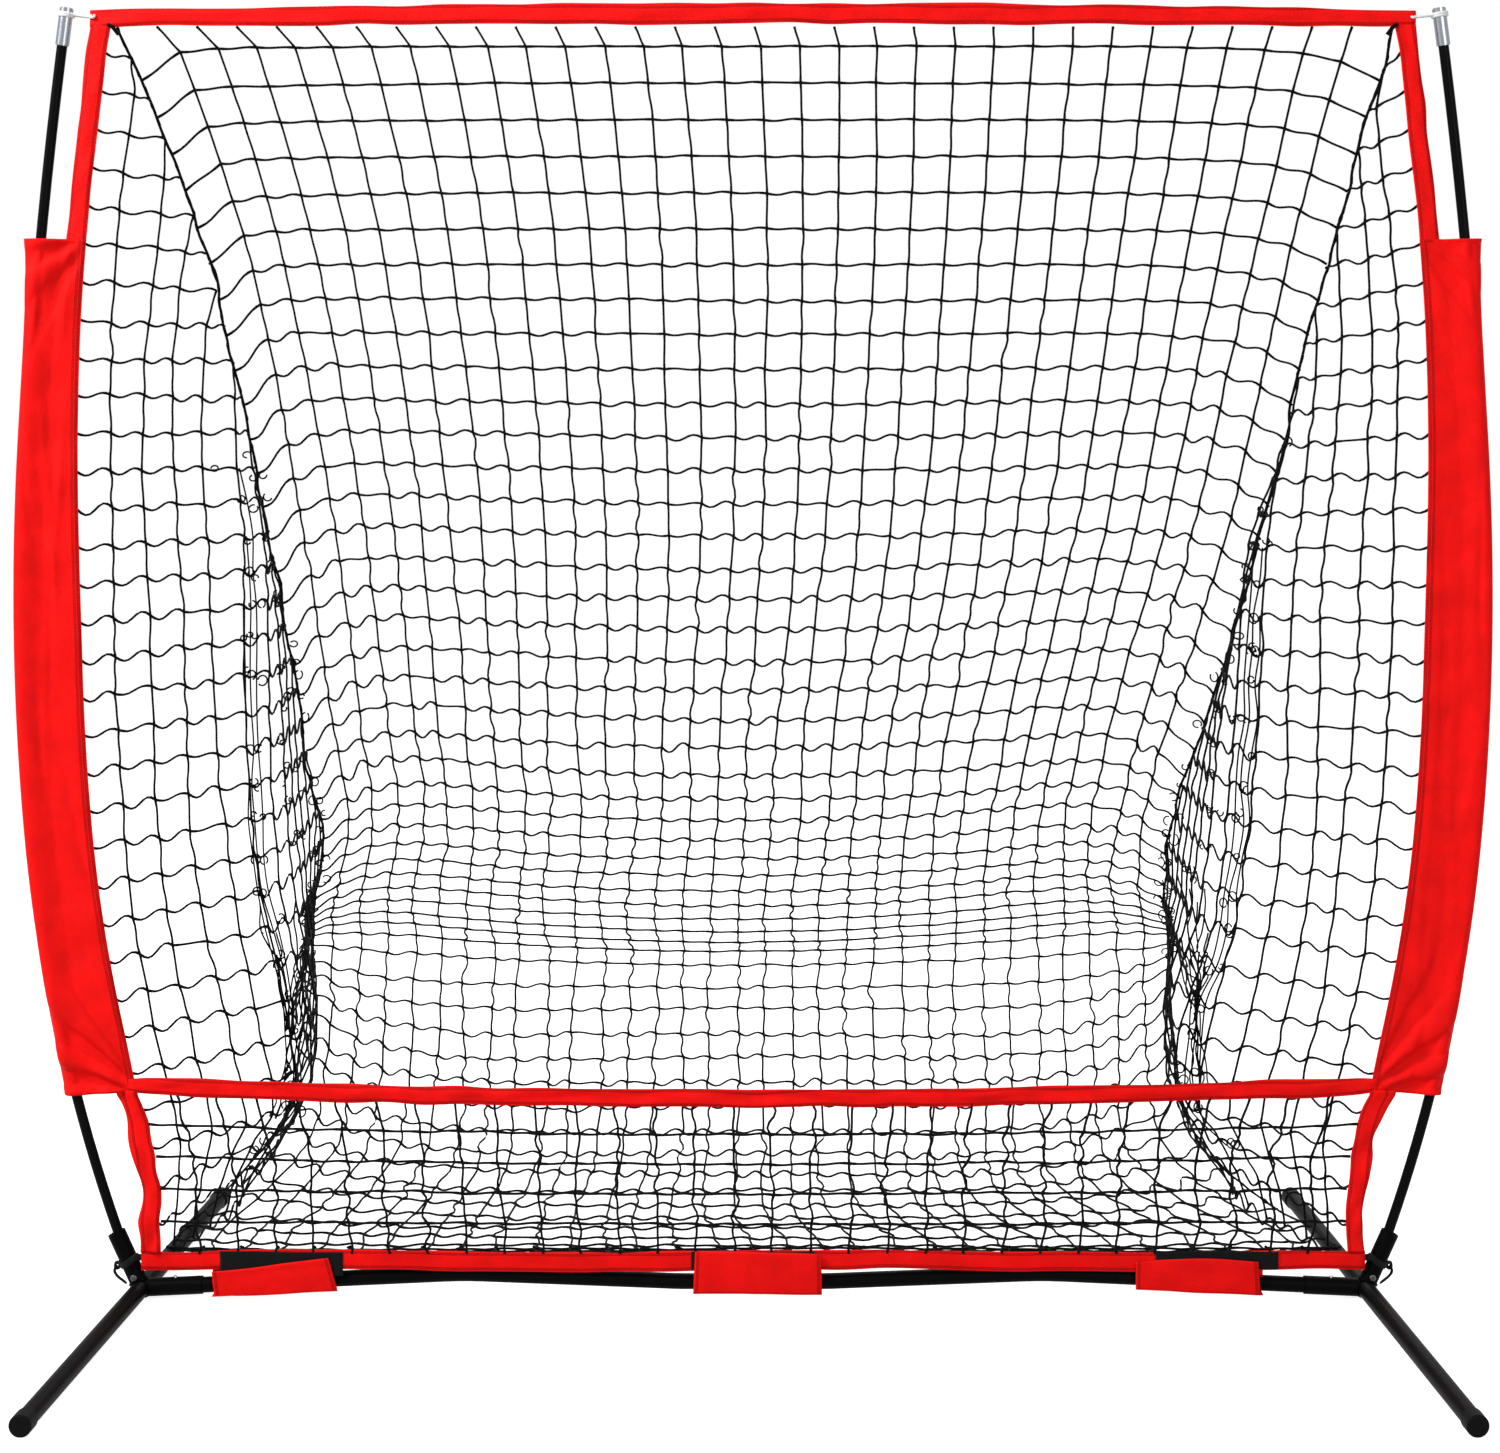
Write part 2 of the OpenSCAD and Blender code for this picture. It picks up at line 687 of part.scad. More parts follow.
module corner_strap(s) {
    strap_r = leg_r + seat;
    knot_x = strap_r + strap_t + 3;
    link = (hub_half + strap_at * sin(socket_lean) - low_half - strip_w - 3) / cos(socket_lean);
    color(BLACK) placed() at_hub(s) along_socket() translate([0, 0, strap_at]) {
        translate([0, 0, -strap_w / 2]) linear_extrude(strap_w) ring(strap_r + strap_t, strap_t);
        translate([-link, -strap_r - strap_t, -strap_w / 2]) cube([link, strap_t, strap_w]);
        translate([knot_x, 0, 0]) sphere(4);
        translate([knot_x + 1, 0, 0]) rotate([0, 180 - 16, 0]) cylinder(h = tail_len, d = tail_d);
        translate([knot_x + 1, 0, 0]) rotate([0, 180 - 16, 0])
            translate([0, 0, tail_len]) sphere(tail_d / 2);
    }
}

// ---- netting ----

function unit(v) = v / norm(v);
function row_way(g, k, i) = let (n = len(g[k]) - 1)
    unit(g[k][min(n, i + 1)] - g[k][max(0, i - 1)]);
function down_way(g, k, i) = let (m = len(g) - 1)
    unit(g[min(m, k + 1)][i] - g[max(0, k - 1)][i]);
function out_way(g, k, i) = unit(cross(row_way(g, k, i), down_way(g, k, i)));
// The four corners of a horizontal cord where it meets a column, off to one side by a distance
function cord_end(g, k, i, off) = let (p = g[k][i] + off * row_way(g, k, i),
    v = twine_h * down_way(g, k, i), w = twine_h * out_way(g, k, i))
    [p - v - w, p + v - w, p + v + w, p - v + w];
// The four corners of an upright cord where it stops above the next row
function drop_end(g, k, i) = let (v = down_way(g, k + 1, i), u = twine_h * row_way(g, k + 1, i),
    w = twine_h * out_way(g, k + 1, i), p = g[k + 1][i] - (twine_h + hair) * v)
    [p - u - w, p + u - w, p + u + w, p - u + w];
function flat_list(list) = [for (a = list) for (b = a) b];
function quad(a, b, c, d) = [[a, b, c], [a, c, d]];

// One row of mesh: a horizontal cord and the upright cords below it, as points and as faces
function row_points(g, k) = let (n = len(g[k]) - 1) concat(
    cord_end(g, k, 0, 0),
    flat_list([for (i = [1:n - 1]) concat(cord_end(g, k, i, -twine_h), cord_end(g, k, i, twine_h))]),
    cord_end(g, k, n, 0),
    k == len(g) - 1 ? [] : flat_list([for (i = [1:n - 1]) drop_end(g, k, i)]));
function row_faces(n, ups, o) = let (last = 2 * n - 1, d = o + 8 * n) concat(
    quad(o, o + 1, o + 2, o + 3),
    quad(o + 4 * last + 3, o + 4 * last + 2, o + 4 * last + 1, o + 4 * last),
    flat_list([for (s = [0:last - 1]) for (c = [0:3])
        if (c != 1 || s % 2 == 0 || !ups) let (a = o + 4 * s, e = (c + 1) % 4)
            quad(a + c, a + 4 + c, a + 4 + e, a + e)]),
    !ups ? [] : flat_list([for (i = [1:n - 1]) let (l = o + 4 * (2 * i - 1), r = l + 4, e = d + 4 * (i - 1))
        concat(quad(l + 1, r + 1, e + 1, e), quad(r + 2, l + 2, e + 3, e + 2),
            quad(l + 2, l + 1, e, e + 3), quad(r + 1, r + 2, e + 2, e + 1),
            quad(e, e + 1, e + 2, e + 3))]));
function row_size(g, k) = let (n = len(g[k]) - 1) 8 * n + (k == len(g) - 1 ? 0 : 4 * (n - 1));

module netting(g) {
    n = len(g[0]) - 1;
    full = row_size(g, 0);
    color(BLACK) placed() polyhedron(
        points = flat_list([for (k = [0:len(g) - 1]) row_points(g, k)]),
        faces = flat_list([for (k = [0:len(g) - 1]) row_faces(n, k < len(g) - 1, k * full)]),
        convexity = 10);
}

rim = rope_r + 0.4;
function seam_at(row) = row <= upper_rows ? curve(seam_down, row / upper_rows)
    : curve(seam_back, (row - upper_rows) / lower_rows);
function share(a, b, n) = [for (i = [0:n]) a + (b - a) * i / n];
last_row = upper_rows + lower_rows;

module net_back() {
    netting([for (row = [0:last_row]) let (p = seam_at(row)) share([-p.x + rim, p.y, p.z],
        [p.x - rim, p.y, p.z], back_cols)]);
}

// Rows in a side run level from the fabric edge to the seam, and fan out below the fold
function edge_level(row) = row <= upper_rows ? seam_at(row).z
    : fold_z + (bottom_top - fold_z) * (row - upper_rows) / lower_rows;
function edge_point(row) = let (z = edge_level(row))
    [edge_x(z) + twine_d, front_y(z) + half_t + twine_h + seat, z];
function seam_way(row) = unit(seam_at(row + 0.1) - seam_at(row - 0.1));
function side_rim(row) = (rope_r + 0.75 * twine_d) / norm(cross(seam_way(row), unit(edge_point(row) - seam_at(row))));
// The side of the bag bellies inwards, most of all a little above the fold
function belly(z) = ease((z - bottom_top) / (fold_z - bottom_top)) * (1 - ease((z - fold_z) / (0.6 * drop)));
function bow(a, b, z) = (a + b) / 2 - belly(z) * bag_depth * [0.27, 0.35, 0];
function bowed(a, m, b, n) = [for (i = [0:n]) let (t = i / n)
    (1 - t) * (1 - t) * a + 2 * t * (1 - t) * m + t * t * b];
function side_row(row) = let (p = seam_at(row), e = edge_point(row), m = bow(e, p, e.z))
    bowed(e, m, p + side_rim(row) * unit(m - p), side_cols);

module net_side(s) {
    color(BLACK) side(s) netting([for (row = [1:last_row - 1]) side_row(row)]);
}

module net_front_lower() {
    gap = twine_h + seat;
    band_drop = band_sag + gap;
    rows = [for (f = [0, 0.5, 1]) bottom_top + gap + (band_z - band_drop - bottom_top - gap) * (1 - f)];
    netting([for (z = rows) let (x = lower_edge(z) - gap) share([-x, front_y(z), z],
        [x, front_y(z), z], back_cols)]);
}

// A rope along a list of points
function rope_way(p, i) = unit(p[min(len(p) - 1, i + 1)] - p[max(0, i - 1)]);
function rope_ring(p, i) = let (t = rope_way(p, i), a = unit(cross(t, [0.3, 0, 1])), b = cross(t, a))
    [for (j = [0:round_sides - 1]) let (q = 360 * j / round_sides)
        p[i] + rope_r * (a * cos(q) + b * sin(q))];

module rope(p) {
    n = len(p);
    sides = round_sides;
    last = (n - 1) * sides;
    polyhedron(
        points = flat_list([for (i = [0:n - 1]) rope_ring(p, i)]),
        faces = concat(
            [for (j = [1:sides - 2]) [0, j + 1, j]],
            [for (j = [1:sides - 2]) [last, last + j, last + j + 1]],
            flat_list([for (i = [0:n - 2]) for (j = [0:sides - 1])
                let (a = i * sides + j, b = i * sides + (j + 1) % sides)
                    quad(a, b, b + sides, a + sides)])),
        convexity = 6);
}

rope_steps = 12;

module seam_rope(s) {
    color(BLACK) placed() side(s) rope(concat(
        [for (i = [0:rope_steps]) curve(seam_down, i / rope_steps)],
        [for (i = [1:rope_steps]) curve(seam_back, i / rope_steps)]));
}

leg(-1);  // leg_left
leg(1);  // leg_right
crossbar_stub(-1);  // crossbar_stub_left
crossbar_stub(1);  // crossbar_stub_right
pole_socket(-1);  // pole_socket_left
pole_socket(1);  // pole_socket_right
foot_cap(-1, -1);  // foot_cap_front_left
foot_cap(1, -1);  // foot_cap_front_right
foot_cap(-1, 1);  // foot_cap_rear_left
foot_cap(1, 1);  // foot_cap_rear_right
crossbar(-1);  // crossbar_left
crossbar(1);  // crossbar_right
snap_button(-1);  // snap_button_left
snap_button(1);  // snap_button_right
button_spring(-1);  // button_spring_left
button_spring(1);  // button_spring_right
stop_screw(-1);  // stop_screw_left
stop_screw(1);  // stop_screw_right
stop_nuts();
pole_lower(-1);  // pole_lower_left
pole_lower(1);  // pole_lower_right
pole_middle(-1);  // pole_middle_left
pole_middle(1);  // pole_middle_right
pole_upper(-1);  // pole_upper_left
pole_upper(1);  // pole_upper_right
pole_ferrules(-1);  // pole_ferrules_left
pole_ferrules(1);  // pole_ferrules_right
pole_cap(-1);  // pole_cap_left
pole_cap(1);  // pole_cap_right
elastic_loop(-1);  // elastic_loop_left
elastic_loop(1);  // elastic_loop_right
top_border();
side_border(-1);  // side_border_left
side_border(1);  // side_border_right
pole_pocket(-1);  // pole_pocket_left
pole_pocket(1);  // pole_pocket_right
front_band();
lower_border(-1);  // lower_border_left
lower_border(1);  // lower_border_right
bottom_border();
loop_strips();
tab_wraps();
tab(tab_x[0]);  // tab_left
tab(tab_x[1]);  // tab_centre
tab(tab_x[2]);  // tab_right
corner_strap(-1);  // corner_strap_left
corner_strap(1);  // corner_strap_right
net_back();
net_side(-1);  // net_side_left
net_side(1);  // net_side_right
net_front_lower();
seam_rope(-1);  // seam_rope_left
seam_rope(1);  // seam_rope_right
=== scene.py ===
import json
import math
import bpy
import numpy as np
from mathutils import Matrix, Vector


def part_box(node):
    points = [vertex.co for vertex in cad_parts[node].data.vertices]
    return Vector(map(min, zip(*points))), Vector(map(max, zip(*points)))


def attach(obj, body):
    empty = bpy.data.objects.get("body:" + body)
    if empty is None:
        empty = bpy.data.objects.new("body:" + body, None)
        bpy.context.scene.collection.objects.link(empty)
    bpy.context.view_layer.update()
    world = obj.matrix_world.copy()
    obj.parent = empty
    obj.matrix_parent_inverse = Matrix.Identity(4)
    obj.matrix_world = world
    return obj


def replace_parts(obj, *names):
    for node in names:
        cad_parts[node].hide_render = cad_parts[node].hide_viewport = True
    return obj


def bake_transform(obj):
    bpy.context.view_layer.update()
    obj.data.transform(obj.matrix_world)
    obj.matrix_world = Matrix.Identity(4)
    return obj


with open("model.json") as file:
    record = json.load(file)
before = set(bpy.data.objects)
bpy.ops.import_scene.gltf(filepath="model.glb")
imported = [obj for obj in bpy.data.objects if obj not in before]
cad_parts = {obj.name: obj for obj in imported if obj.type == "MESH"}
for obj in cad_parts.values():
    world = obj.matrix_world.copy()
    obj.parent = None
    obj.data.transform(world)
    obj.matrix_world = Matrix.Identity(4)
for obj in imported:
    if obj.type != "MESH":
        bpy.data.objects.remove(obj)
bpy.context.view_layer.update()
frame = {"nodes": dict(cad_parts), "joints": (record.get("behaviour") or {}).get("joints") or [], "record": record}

rng = np.random.default_rng(11)
nodes = frame["nodes"]
rad = math.radians
ROOT = "frame"
SIDES = ((-1, "left"), (1, "right"))

# ---------------- sizes, in metres and degrees

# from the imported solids. Heights are above the ground, depths behind the plane of the poles
top_lo, top_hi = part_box("top_border")
bottom_lo, bottom_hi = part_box("bottom_border")
OFF = (top_lo.y + top_hi.y) / 2         # the plane of the poles, in the row frame
TOP_Z = top_lo.z
BAND_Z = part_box("pole_pocket_right")[0].z
BOTTOM_TOP = bottom_hi.z
BOTTOM_Z = bottom_lo.z
BOTTOM_Y = (bottom_lo.y + bottom_hi.y) / 2 - OFF

# base and poles
HUB = np.array([0.750, 0.012])          # where a socket leaves its leg: outwards, up
LEG_R = 0.0111
BAR_R = 0.0095
SOCKET_LEAN = 24
SOCKET_LENGTH = 0.075
POLE_DEPTH = 0.024                      # how deep a pole stands in its socket
POLE_LEAN = 18.8                        # at its foot
SECTION = 0.500                         # one of the sections of a pole
BENDS = (14.2, 8.8, 3.8)                # how far each section bends
POLE = len(BENDS) * SECTION

# cloth
POCKET = (0.178, 1.226)                 # the two ends of a pocket, along its pole
INSET = (0.074, 0.055)                  # from the pole to the pocket's inner edge, at its two ends
LOW_HALF = 0.724                        # half the width of the net at the bottom border
HEM = 0.024                             # width of the upright borders
BAND_SAG = 0.016
CROWN = 0.009                           # how much higher the top border is in the middle

# netting
FOLD_Z = 0.306                          # the corner of the fold at the back
DEPTH = 0.711
CLEAR = 0.032                           # under the seams
FLOOR_Z = 0.012                         # the lowest that twine lies
COLS, ROWS = 32, 53                     # meshes of the back
LOW_COLS, LOW_ROWS = 31, 5              # meshes of the low front net
SIDE_PITCH = 0.0465                     # a mesh of the sides, along a row
SIDE_DROP = 0.0460                      # and from row to row
CREASE_DEPTH = 0.18                     # of the upright fold in each side
EVEN = 5                                # uprights in front of it, at the pitch on every level
TWINE_R = 0.00148
LOOP_R = 0.00115


def ease(f):
    c = np.clip(f, 0, 1)
    return c * c * (3 - 2 * c)


def points(x, y, z):
    """Points, from coordinates that are numbers or arrays."""
    return np.stack(np.broadcast_arrays(x, y, z), axis=-1).astype(float)


def unit(vectors):
    return vectors / (np.linalg.norm(vectors, axis=-1, keepdims=True) + 1e-12)


def run_length(p):
    """How far along a line each of its points is."""
    return np.r_[0, np.cumsum(np.linalg.norm(np.diff(p, axis=0), axis=1))]


def catmull(a, b, c, d, f):
    """Between b and c on a smooth line through a, b, c and d."""
    return 0.5 * (2 * b + (c - a) * f + (2 * a - 5 * b + 4 * c - d) * f ** 2
                  + (3 * b - a - 3 * c + d) * f ** 3)


def noise(n, scale, count):
    """Smooth random values at points along a line, one row for each of n lines."""
    m = max(4, int(count / scale) + 3)
    knots = rng.normal(size=(n, m))
    x = np.linspace(0, m - 3, count) + 1
    i = np.clip(x.astype(int), 1, m - 3)
    after_next = np.minimum(i + 2, m - 1)
    return catmull(knots[:, i - 1], knots[:, i], knots[:, i + 1], knots[:, after_next], x - i)


def waver(scale, count):
    return noise(1, scale, count)[0]


def resample(p, n):
    d = run_length(p)
    x = np.linspace(0, d[-1], n)
    return np.stack([np.interp(x, d, p[:, i]) for i in range(3)], 1)


def smooth_line(p, n):
    """A Catmull-Rom line through points, resampled."""
    p = np.asarray(p, float)
    q = np.vstack([2 * p[0] - p[1], p, 2 * p[-1] - p[-2]])
    f = np.linspace(0, 1, 12, endpoint=False)[:, None]
    spans = [catmull(*q[i - 1:i + 3], f) for i in range(1, len(q) - 2)]
    return resample(np.vstack(spans + [p[-1:]]), n)


# ---------------- the line of the poles and the edge

def after(point, heading, length, turn):
    """Where a round bend ends that is so long and turns so far."""
    half = turn / 2
    chord = length * np.sinc(half / math.pi)
    return point + chord * np.array([math.cos(heading + half), math.sin(heading + half)])


def leaning(lean):
    return np.array([math.sin(rad(lean)), math.cos(rad(lean))])


mouth = HUB + SOCKET_LENGTH * leaning(SOCKET_LEAN)
starts = [mouth - POLE_DEPTH * (leaning(SOCKET_LEAN) - leaning(POLE_LEAN))]
headings = [rad(90 - POLE_LEAN)]
for bend in BENDS:
    starts.append(after(starts[-1], headings[-1], SECTION, rad(bend)))
    headings.append(headings[-1] + rad(bend))


def pole(s):
    """A place along the right pole: how far out, how high, and its heading."""
    i = min(len(BENDS) - 1, max(0, int(s // SECTION)))
    length = s - i * SECTION
    turn = rad(BENDS[i]) * length / SECTION
    x, z = after(starts[i], headings[i], length, turn)
    return x, z, headings[i] + turn


pole_route = np.array([pole(s) for s in np.linspace(0, POLE, 301)])
POCKET_TOP = pole(POCKET[1])[1]


def inset(z):
    middle, reach = (BAND_Z + POCKET_TOP) / 2, (POCKET_TOP - BAND_Z) / 2
    return INSET[0] + (INSET[1] - INSET[0]) * ease((z - middle) / reach)


def inner_x(z):
    """How far out the inner edge of the pockets and of the borders above them is."""
    return np.interp(z, pole_route[:, 1], pole_route[:, 0]) - inset(z)


def edge_x(z):
    """The same, with the lower borders too."""
    z = np.asarray(z, float)
    share = np.clip((z - BOTTOM_TOP) / (BAND_Z - BOTTOM_TOP), 0, None)
    low = LOW_HALF + (float(inner_x(BAND_Z)) - LOW_HALF) * share ** 3
    return np.where(z > BAND_Z, inner_x(z), low)


def front_y(z):
    """How far forward the low front net leans."""
    share = (np.asarray(z, float) - BOTTOM_TOP) / (BAND_Z - BOTTOM_TOP)
    return BOTTOM_Y * np.clip(1 - share, 0, 1)


TOP_HALF = float(inner_x(TOP_Z))

# ---------------- materials


def material(name, color, rough=0.5, metal=0.0, spec=0.5, sheen=0.0):
    m = bpy.data.materials.new(name)
    m.use_nodes = True
    b = m.node_tree.nodes["Principled BSDF"]
    b.inputs["Base Color"].default_value = (*color, 1)
    b.inputs["Roughness"].default_value = rough
    b.inputs["Metallic"].default_value = metal
    b.inputs["Specular IOR Level"].default_value = spec
    b.inputs["Sheen Weight"].default_value = sheen
    return m


def node(m, kind, **inputs):
    n = m.node_tree.nodes.new(kind)
    for k, v in inputs.items():
        n.inputs[k].default_value = v
    return n


def link(m, a, out, b, into):
    m.node_tree.links.new(a.outputs[out], b.inputs[into])


def calc(tree, operation, *values):
    """A sum of numbers and outputs; returns its output."""
    n = tree.nodes.new("ShaderNodeMath")
    n.operation = operation
    for socket, value in zip(n.inputs, values):
        if isinstance(value, bpy.types.NodeSocket):
            tree.links.new(value, socket)
        else:
            socket.default_value = value
    return n.outputs[0]


def two_tone(m, source, color, dark, light):
    """A colour that goes between two shades of itself with the noise of source."""
    ramp = m.node_tree.nodes.new("ShaderNodeValToRGB")
    for stop, place, share in zip(ramp.color_ramp.elements, (0.3, 0.7), (dark, light)):
        stop.position = place
        stop.color = [min(1, c * share) for c in color] + [1]
    link(m, source, "Fac", ramp, "Fac")
    return ramp


def grain(m, scale, depth, rough, stretch=(1, 1, 1), tint=0.0, distance=0.001):
    """Noise on the roughness, the height and a little on the colour."""
    b = m.node_tree.nodes["Principled BSDF"]
    coordinates = node(m, "ShaderNodeTexCoord")
    mapping = node(m, "ShaderNodeMapping", Scale=stretch)
    texture = node(m, "ShaderNodeTexNoise", Scale=scale, Detail=4.0)
    roughness = node(m, "ShaderNodeMapRange")
    roughness.inputs["To Min"].default_value = rough[0]
    roughness.inputs["To Max"].default_value = rough[1]
    bump = node(m, "ShaderNodeBump", Strength=depth, Distance=distance)
    link(m, coordinates, "Object", mapping, "Vector")
    link(m, mapping, "Vector", texture, "Vector")
    link(m, texture, "Fac", roughness, "Value")
    link(m, roughness, "Result", b, "Roughness")
    link(m, texture, "Fac", bump, "Height")
    link(m, bump, "Normal", b, "Normal")
    if tint:
        color = tuple(b.inputs["Base Color"].default_value)[:3]
        link(m, two_tone(m, texture, color, 1 - tint, 1 + tint), "Color", b, "Base Color")
    return m


powder = grain(material("powder_black", (0.0020, 0.0020, 0.0022), 0.42, 0.0, 0.02),
               500, 0.04, (0.38, 0.48), distance=0.0002)
pole_mat = grain(material("pole_black", (0.0022, 0.0022, 0.0025), 0.32, 0.0, 0.03),
                 60, 0.05, (0.26, 0.42), stretch=(30, 30, 1), distance=0.0002)
rubber = grain(material("foot_rubber", (0.003, 0.003, 0.003), 0.6, 0.0, 0.05),
               350, 0.3, (0.5, 0.7), distance=0.0004)
zinc = grain(material("zinc", (0.62, 0.63, 0.65), 0.35, 1.0),
             400, 0.1, (0.25, 0.45), distance=0.0002)
dark_zinc = grain(material("dark_zinc", (0.10, 0.10, 0.11), 0.4, 1.0),
                  400, 0.1, (0.3, 0.5), distance=0.0002)
cap_metal = grain(material("cap_metal", (0.26, 0.28, 0.31), 0.25, 1.0),
                  40, 0.05, (0.20, 0.34), stretch=(30, 30, 1), tint=0.1, distance=0.0001)
elastic = grain(material("elastic_white", (0.72, 0.72, 0.71), 0.75, 0.0, 0.3, 0.2),
                700, 0.5, (0.65, 0.85), tint=0.06, distance=0.0005)
twine = grain(material("twine_black", (0.0022, 0.0022, 0.0022), 0.75, 0.0, 0.06),
              900, 0.4, (0.65, 0.85), distance=0.0004)
rope_mat = grain(material("rope_black", (0.0022, 0.0022, 0.0022), 0.85, 0.0, 0.06),
                 700, 0.6, (0.75, 0.95), distance=0.0006)
webbing = grain(material("webbing_black", (0.004, 0.004, 0.004), 0.8, 0.0, 0.12, 0.02),
                900, 0.6, (0.7, 0.9), distance=0.0005)
loop_tape = grain(material("loop_tape", (0.005, 0.005, 0.0055), 0.95, 0.0, 0.08, 0.05),
                  1400, 1.0, (0.85, 1.0), distance=0.0012)


def stitches(m, uv, seams, ends):
    """Height of rows of stitches along a cloth and, at its ends, across it, in their grooves."""
    tree = m.node_tree
    length, width, thread, groove, dash = 0.0042, 0.0007, 1.6, 0.0016, 0.68
    height = None
    for aside, run, place in [("Y", "X", q) for q in seams] + [("X", "Y", q) for q in ends]:
        away = calc(tree, "ABSOLUTE", calc(tree, "SUBTRACT", uv.outputs[aside], place))
        on_line = calc(tree, "LESS_THAN", away, width)
        part = calc(tree, "FRACT", calc(tree, "DIVIDE", uv.outputs[run], length))
        stitch = calc(tree, "MULTIPLY", on_line, calc(tree, "LESS_THAN", part, dash))
        row = calc(tree, "SUBTRACT", calc(tree, "MULTIPLY", stitch, thread),
                   calc(tree, "LESS_THAN", away, groove))
        height = row if height is None else calc(tree, "ADD", height, row)
    return height


def cloth_material(name, color, seams, ends=()):
    """Woven cloth, with stitches at places in its UV, which is in metres, and painted shade in their grooves."""
    m = material(name, color, 0.55, 0.0, 0.07)
    tree = m.node_tree
    b = tree.nodes["Principled BSDF"]
    plain = node(m, "ShaderNodeUVMap")
    plain.uv_map = "UVMap"
    uv = node(m, "ShaderNodeSeparateXYZ")
    link(m, plain, "UV", uv, "Vector")
    coordinates = node(m, "ShaderNodeTexCoord")
    soft = node(m, "ShaderNodeTexNoise", Scale=30.0, Detail=4.0)
    fine = node(m, "ShaderNodeTexNoise", Scale=260.0, Detail=2.0)
    link(m, coordinates, "Object", soft, "Vector")
    link(m, coordinates, "Object", fine, "Vector")
    threads = 2 * math.pi / 0.0016
    warp, weft = [calc(tree, "SINE", calc(tree, "MULTIPLY", uv.outputs[axis], threads))
                  for axis in "XY"]
    weave = calc(tree, "MULTIPLY", warp, weft)
    seam = stitches(m, uv, seams, ends)
    height = calc(tree, "MULTIPLY", weave, 0.10)
    for layer, share in ((soft.outputs["Fac"], 1.1), (fine.outputs["Fac"], 0.25), (seam, 0.5)):
        if layer is not None:
            height = calc(tree, "ADD", height, calc(tree, "MULTIPLY", layer, share))
    bump = node(m, "ShaderNodeBump", Strength=0.8, Distance=0.0014)
    tree.links.new(height, bump.inputs["Height"])
    link(m, bump, "Normal", b, "Normal")
    shade = two_tone(m, soft, color, 0.86, 1.05)
    if seam is None:
        link(m, shade, "Color", b, "Base Color")
        return m
    # the stitches are darker, and their grooves get painted shade, by the same darkening
    mix = node(m, "ShaderNodeMix")
    mix.data_type = "RGBA"
    # painted shade in the grooves: the stitches and the grooves beside them take up to 0.8 of a colour at 0.45 of
    # the cloth's
    amount = calc(tree, "MINIMUM", calc(tree, "ABSOLUTE", seam), 1.0)
    tree.links.new(calc(tree, "MULTIPLY", amount, 0.8), mix.inputs["Factor"])
    link(m, shade, "Color", mix, 6)
    mix.inputs[7].default_value = tuple(c * 0.45 for c in color) + (1,)
    link(m, mix, 2, b, "Base Color")
    return m


RED = (0.84, 0.0042, 0.0036)
red_hem = cloth_material("red_hem", RED, (0.0035, 0.0205))
red_border = cloth_material("red_border", RED, (0.0035, 0.0215))
red_pocket = cloth_material("red_pocket", RED, (0.0030, 0.0075))
red_wrap = cloth_material("red_wrap", RED, ())


def dress_solids():
    """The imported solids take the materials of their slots."""
    slots = {
        "powder_black": powder, "foot_rubber": rubber, "steel": zinc, "pole_black": pole_mat,
        "cap_metal": cap_metal, "elastic_white": elastic, "red_fabric": red_hem,
        "black_fabric": webbing, "net_twine": twine,
    }
    looks = {sub["node"]: slots[sub["material_slot"]] for sub in frame["record"]["subparts"]}
    for name in ("stop_screw_left", "stop_screw_right", "stop_nuts"):
        looks[name] = dark_zinc
    for name, look in looks.items():
        nodes[name].data.materials.clear()
        nodes[name].data.materials.append(look)


# ---------------- mesh building

def row_frame(p):
    """Points behind the plane of the poles, moved into the row frame."""
    return p + np.array([0, OFF, 0])


def add_object(name, data):
    o = bpy.data.objects.new(name, data)
    bpy.context.scene.collection.objects.link(o)
    return o


def mesh_object(name, verts, faces, mat, uvs=None, body=ROOT):
    me = bpy.data.meshes.new(name)
    me.from_pydata(verts.tolist(), [], faces)
    me.validate()
    me.polygons.foreach_set("use_smooth", np.ones(len(me.polygons), bool))
    if uvs is not None:
        layer = me.uv_layers.new(name="UVMap")
        at = np.empty(len(me.loops), np.int32)
        me.loops.foreach_get("vertex_index", at)
        layer.data.foreach_set("uv", uvs[at].ravel())
    me.materials.append(mat)
    o = add_object(name, me)
    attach(o, body)
    return o


class Tubes:
    """Collects round strands, closed at both ends, as one mesh. The number of sides is even."""

    def __init__(self, sides=6):
        self.sides = sides
        self.v, self.f, self.n = [], [], 0

    def add(self, paths, radius):
        """paths: (M, N, 3) or (N, 3). radius: a number, (N,) or (M, N)."""
        p = np.asarray(paths, float)
        if p.ndim == 2:
            p = p[None]
        m, n, _ = p.shape
        s = self.sides
        t = unit(np.gradient(p, axis=1))
        a = unit(np.cross(t, (0.31, 0.87, 0.38)))
        b = np.cross(t, a)
        q = np.linspace(0, 2 * math.pi, s, endpoint=False)[:, None]
        r = np.broadcast_to(np.asarray(radius, float), (m, n))[..., None, None]
        ring = a[:, :, None] * np.cos(q) + b[:, :, None] * np.sin(q)
        self.v.append((p[:, :, None] + r * ring).reshape(-1, 3))
        base = self.n + (np.arange(m)[:, None, None] * n + np.arange(n - 1)[None, :, None]) * s
        j = np.arange(s)[None, None, :]
        k = (j + 1) % s
        f = np.stack([base + j, base + k, base + s + k, base + s + j], axis=-1)
        self.f.append(f.reshape(-1, 4))
        first = self.n + np.arange(m)[:, None] * n * s
        last = first + (n - 1) * s
        for i in range(1, s - 1, 2):
            self.f.append(first + [[0, i + 2, i + 1, i]])
            self.f.append(last + [[0, i, i + 1, i + 2]])
        self.n += m * n * s

    def build(self, name, mat, slot):
        verts, faces = row_frame(np.vstack(self.v)), np.vstack(self.f).tolist()
        return mesh_object(name, verts, faces, mat)


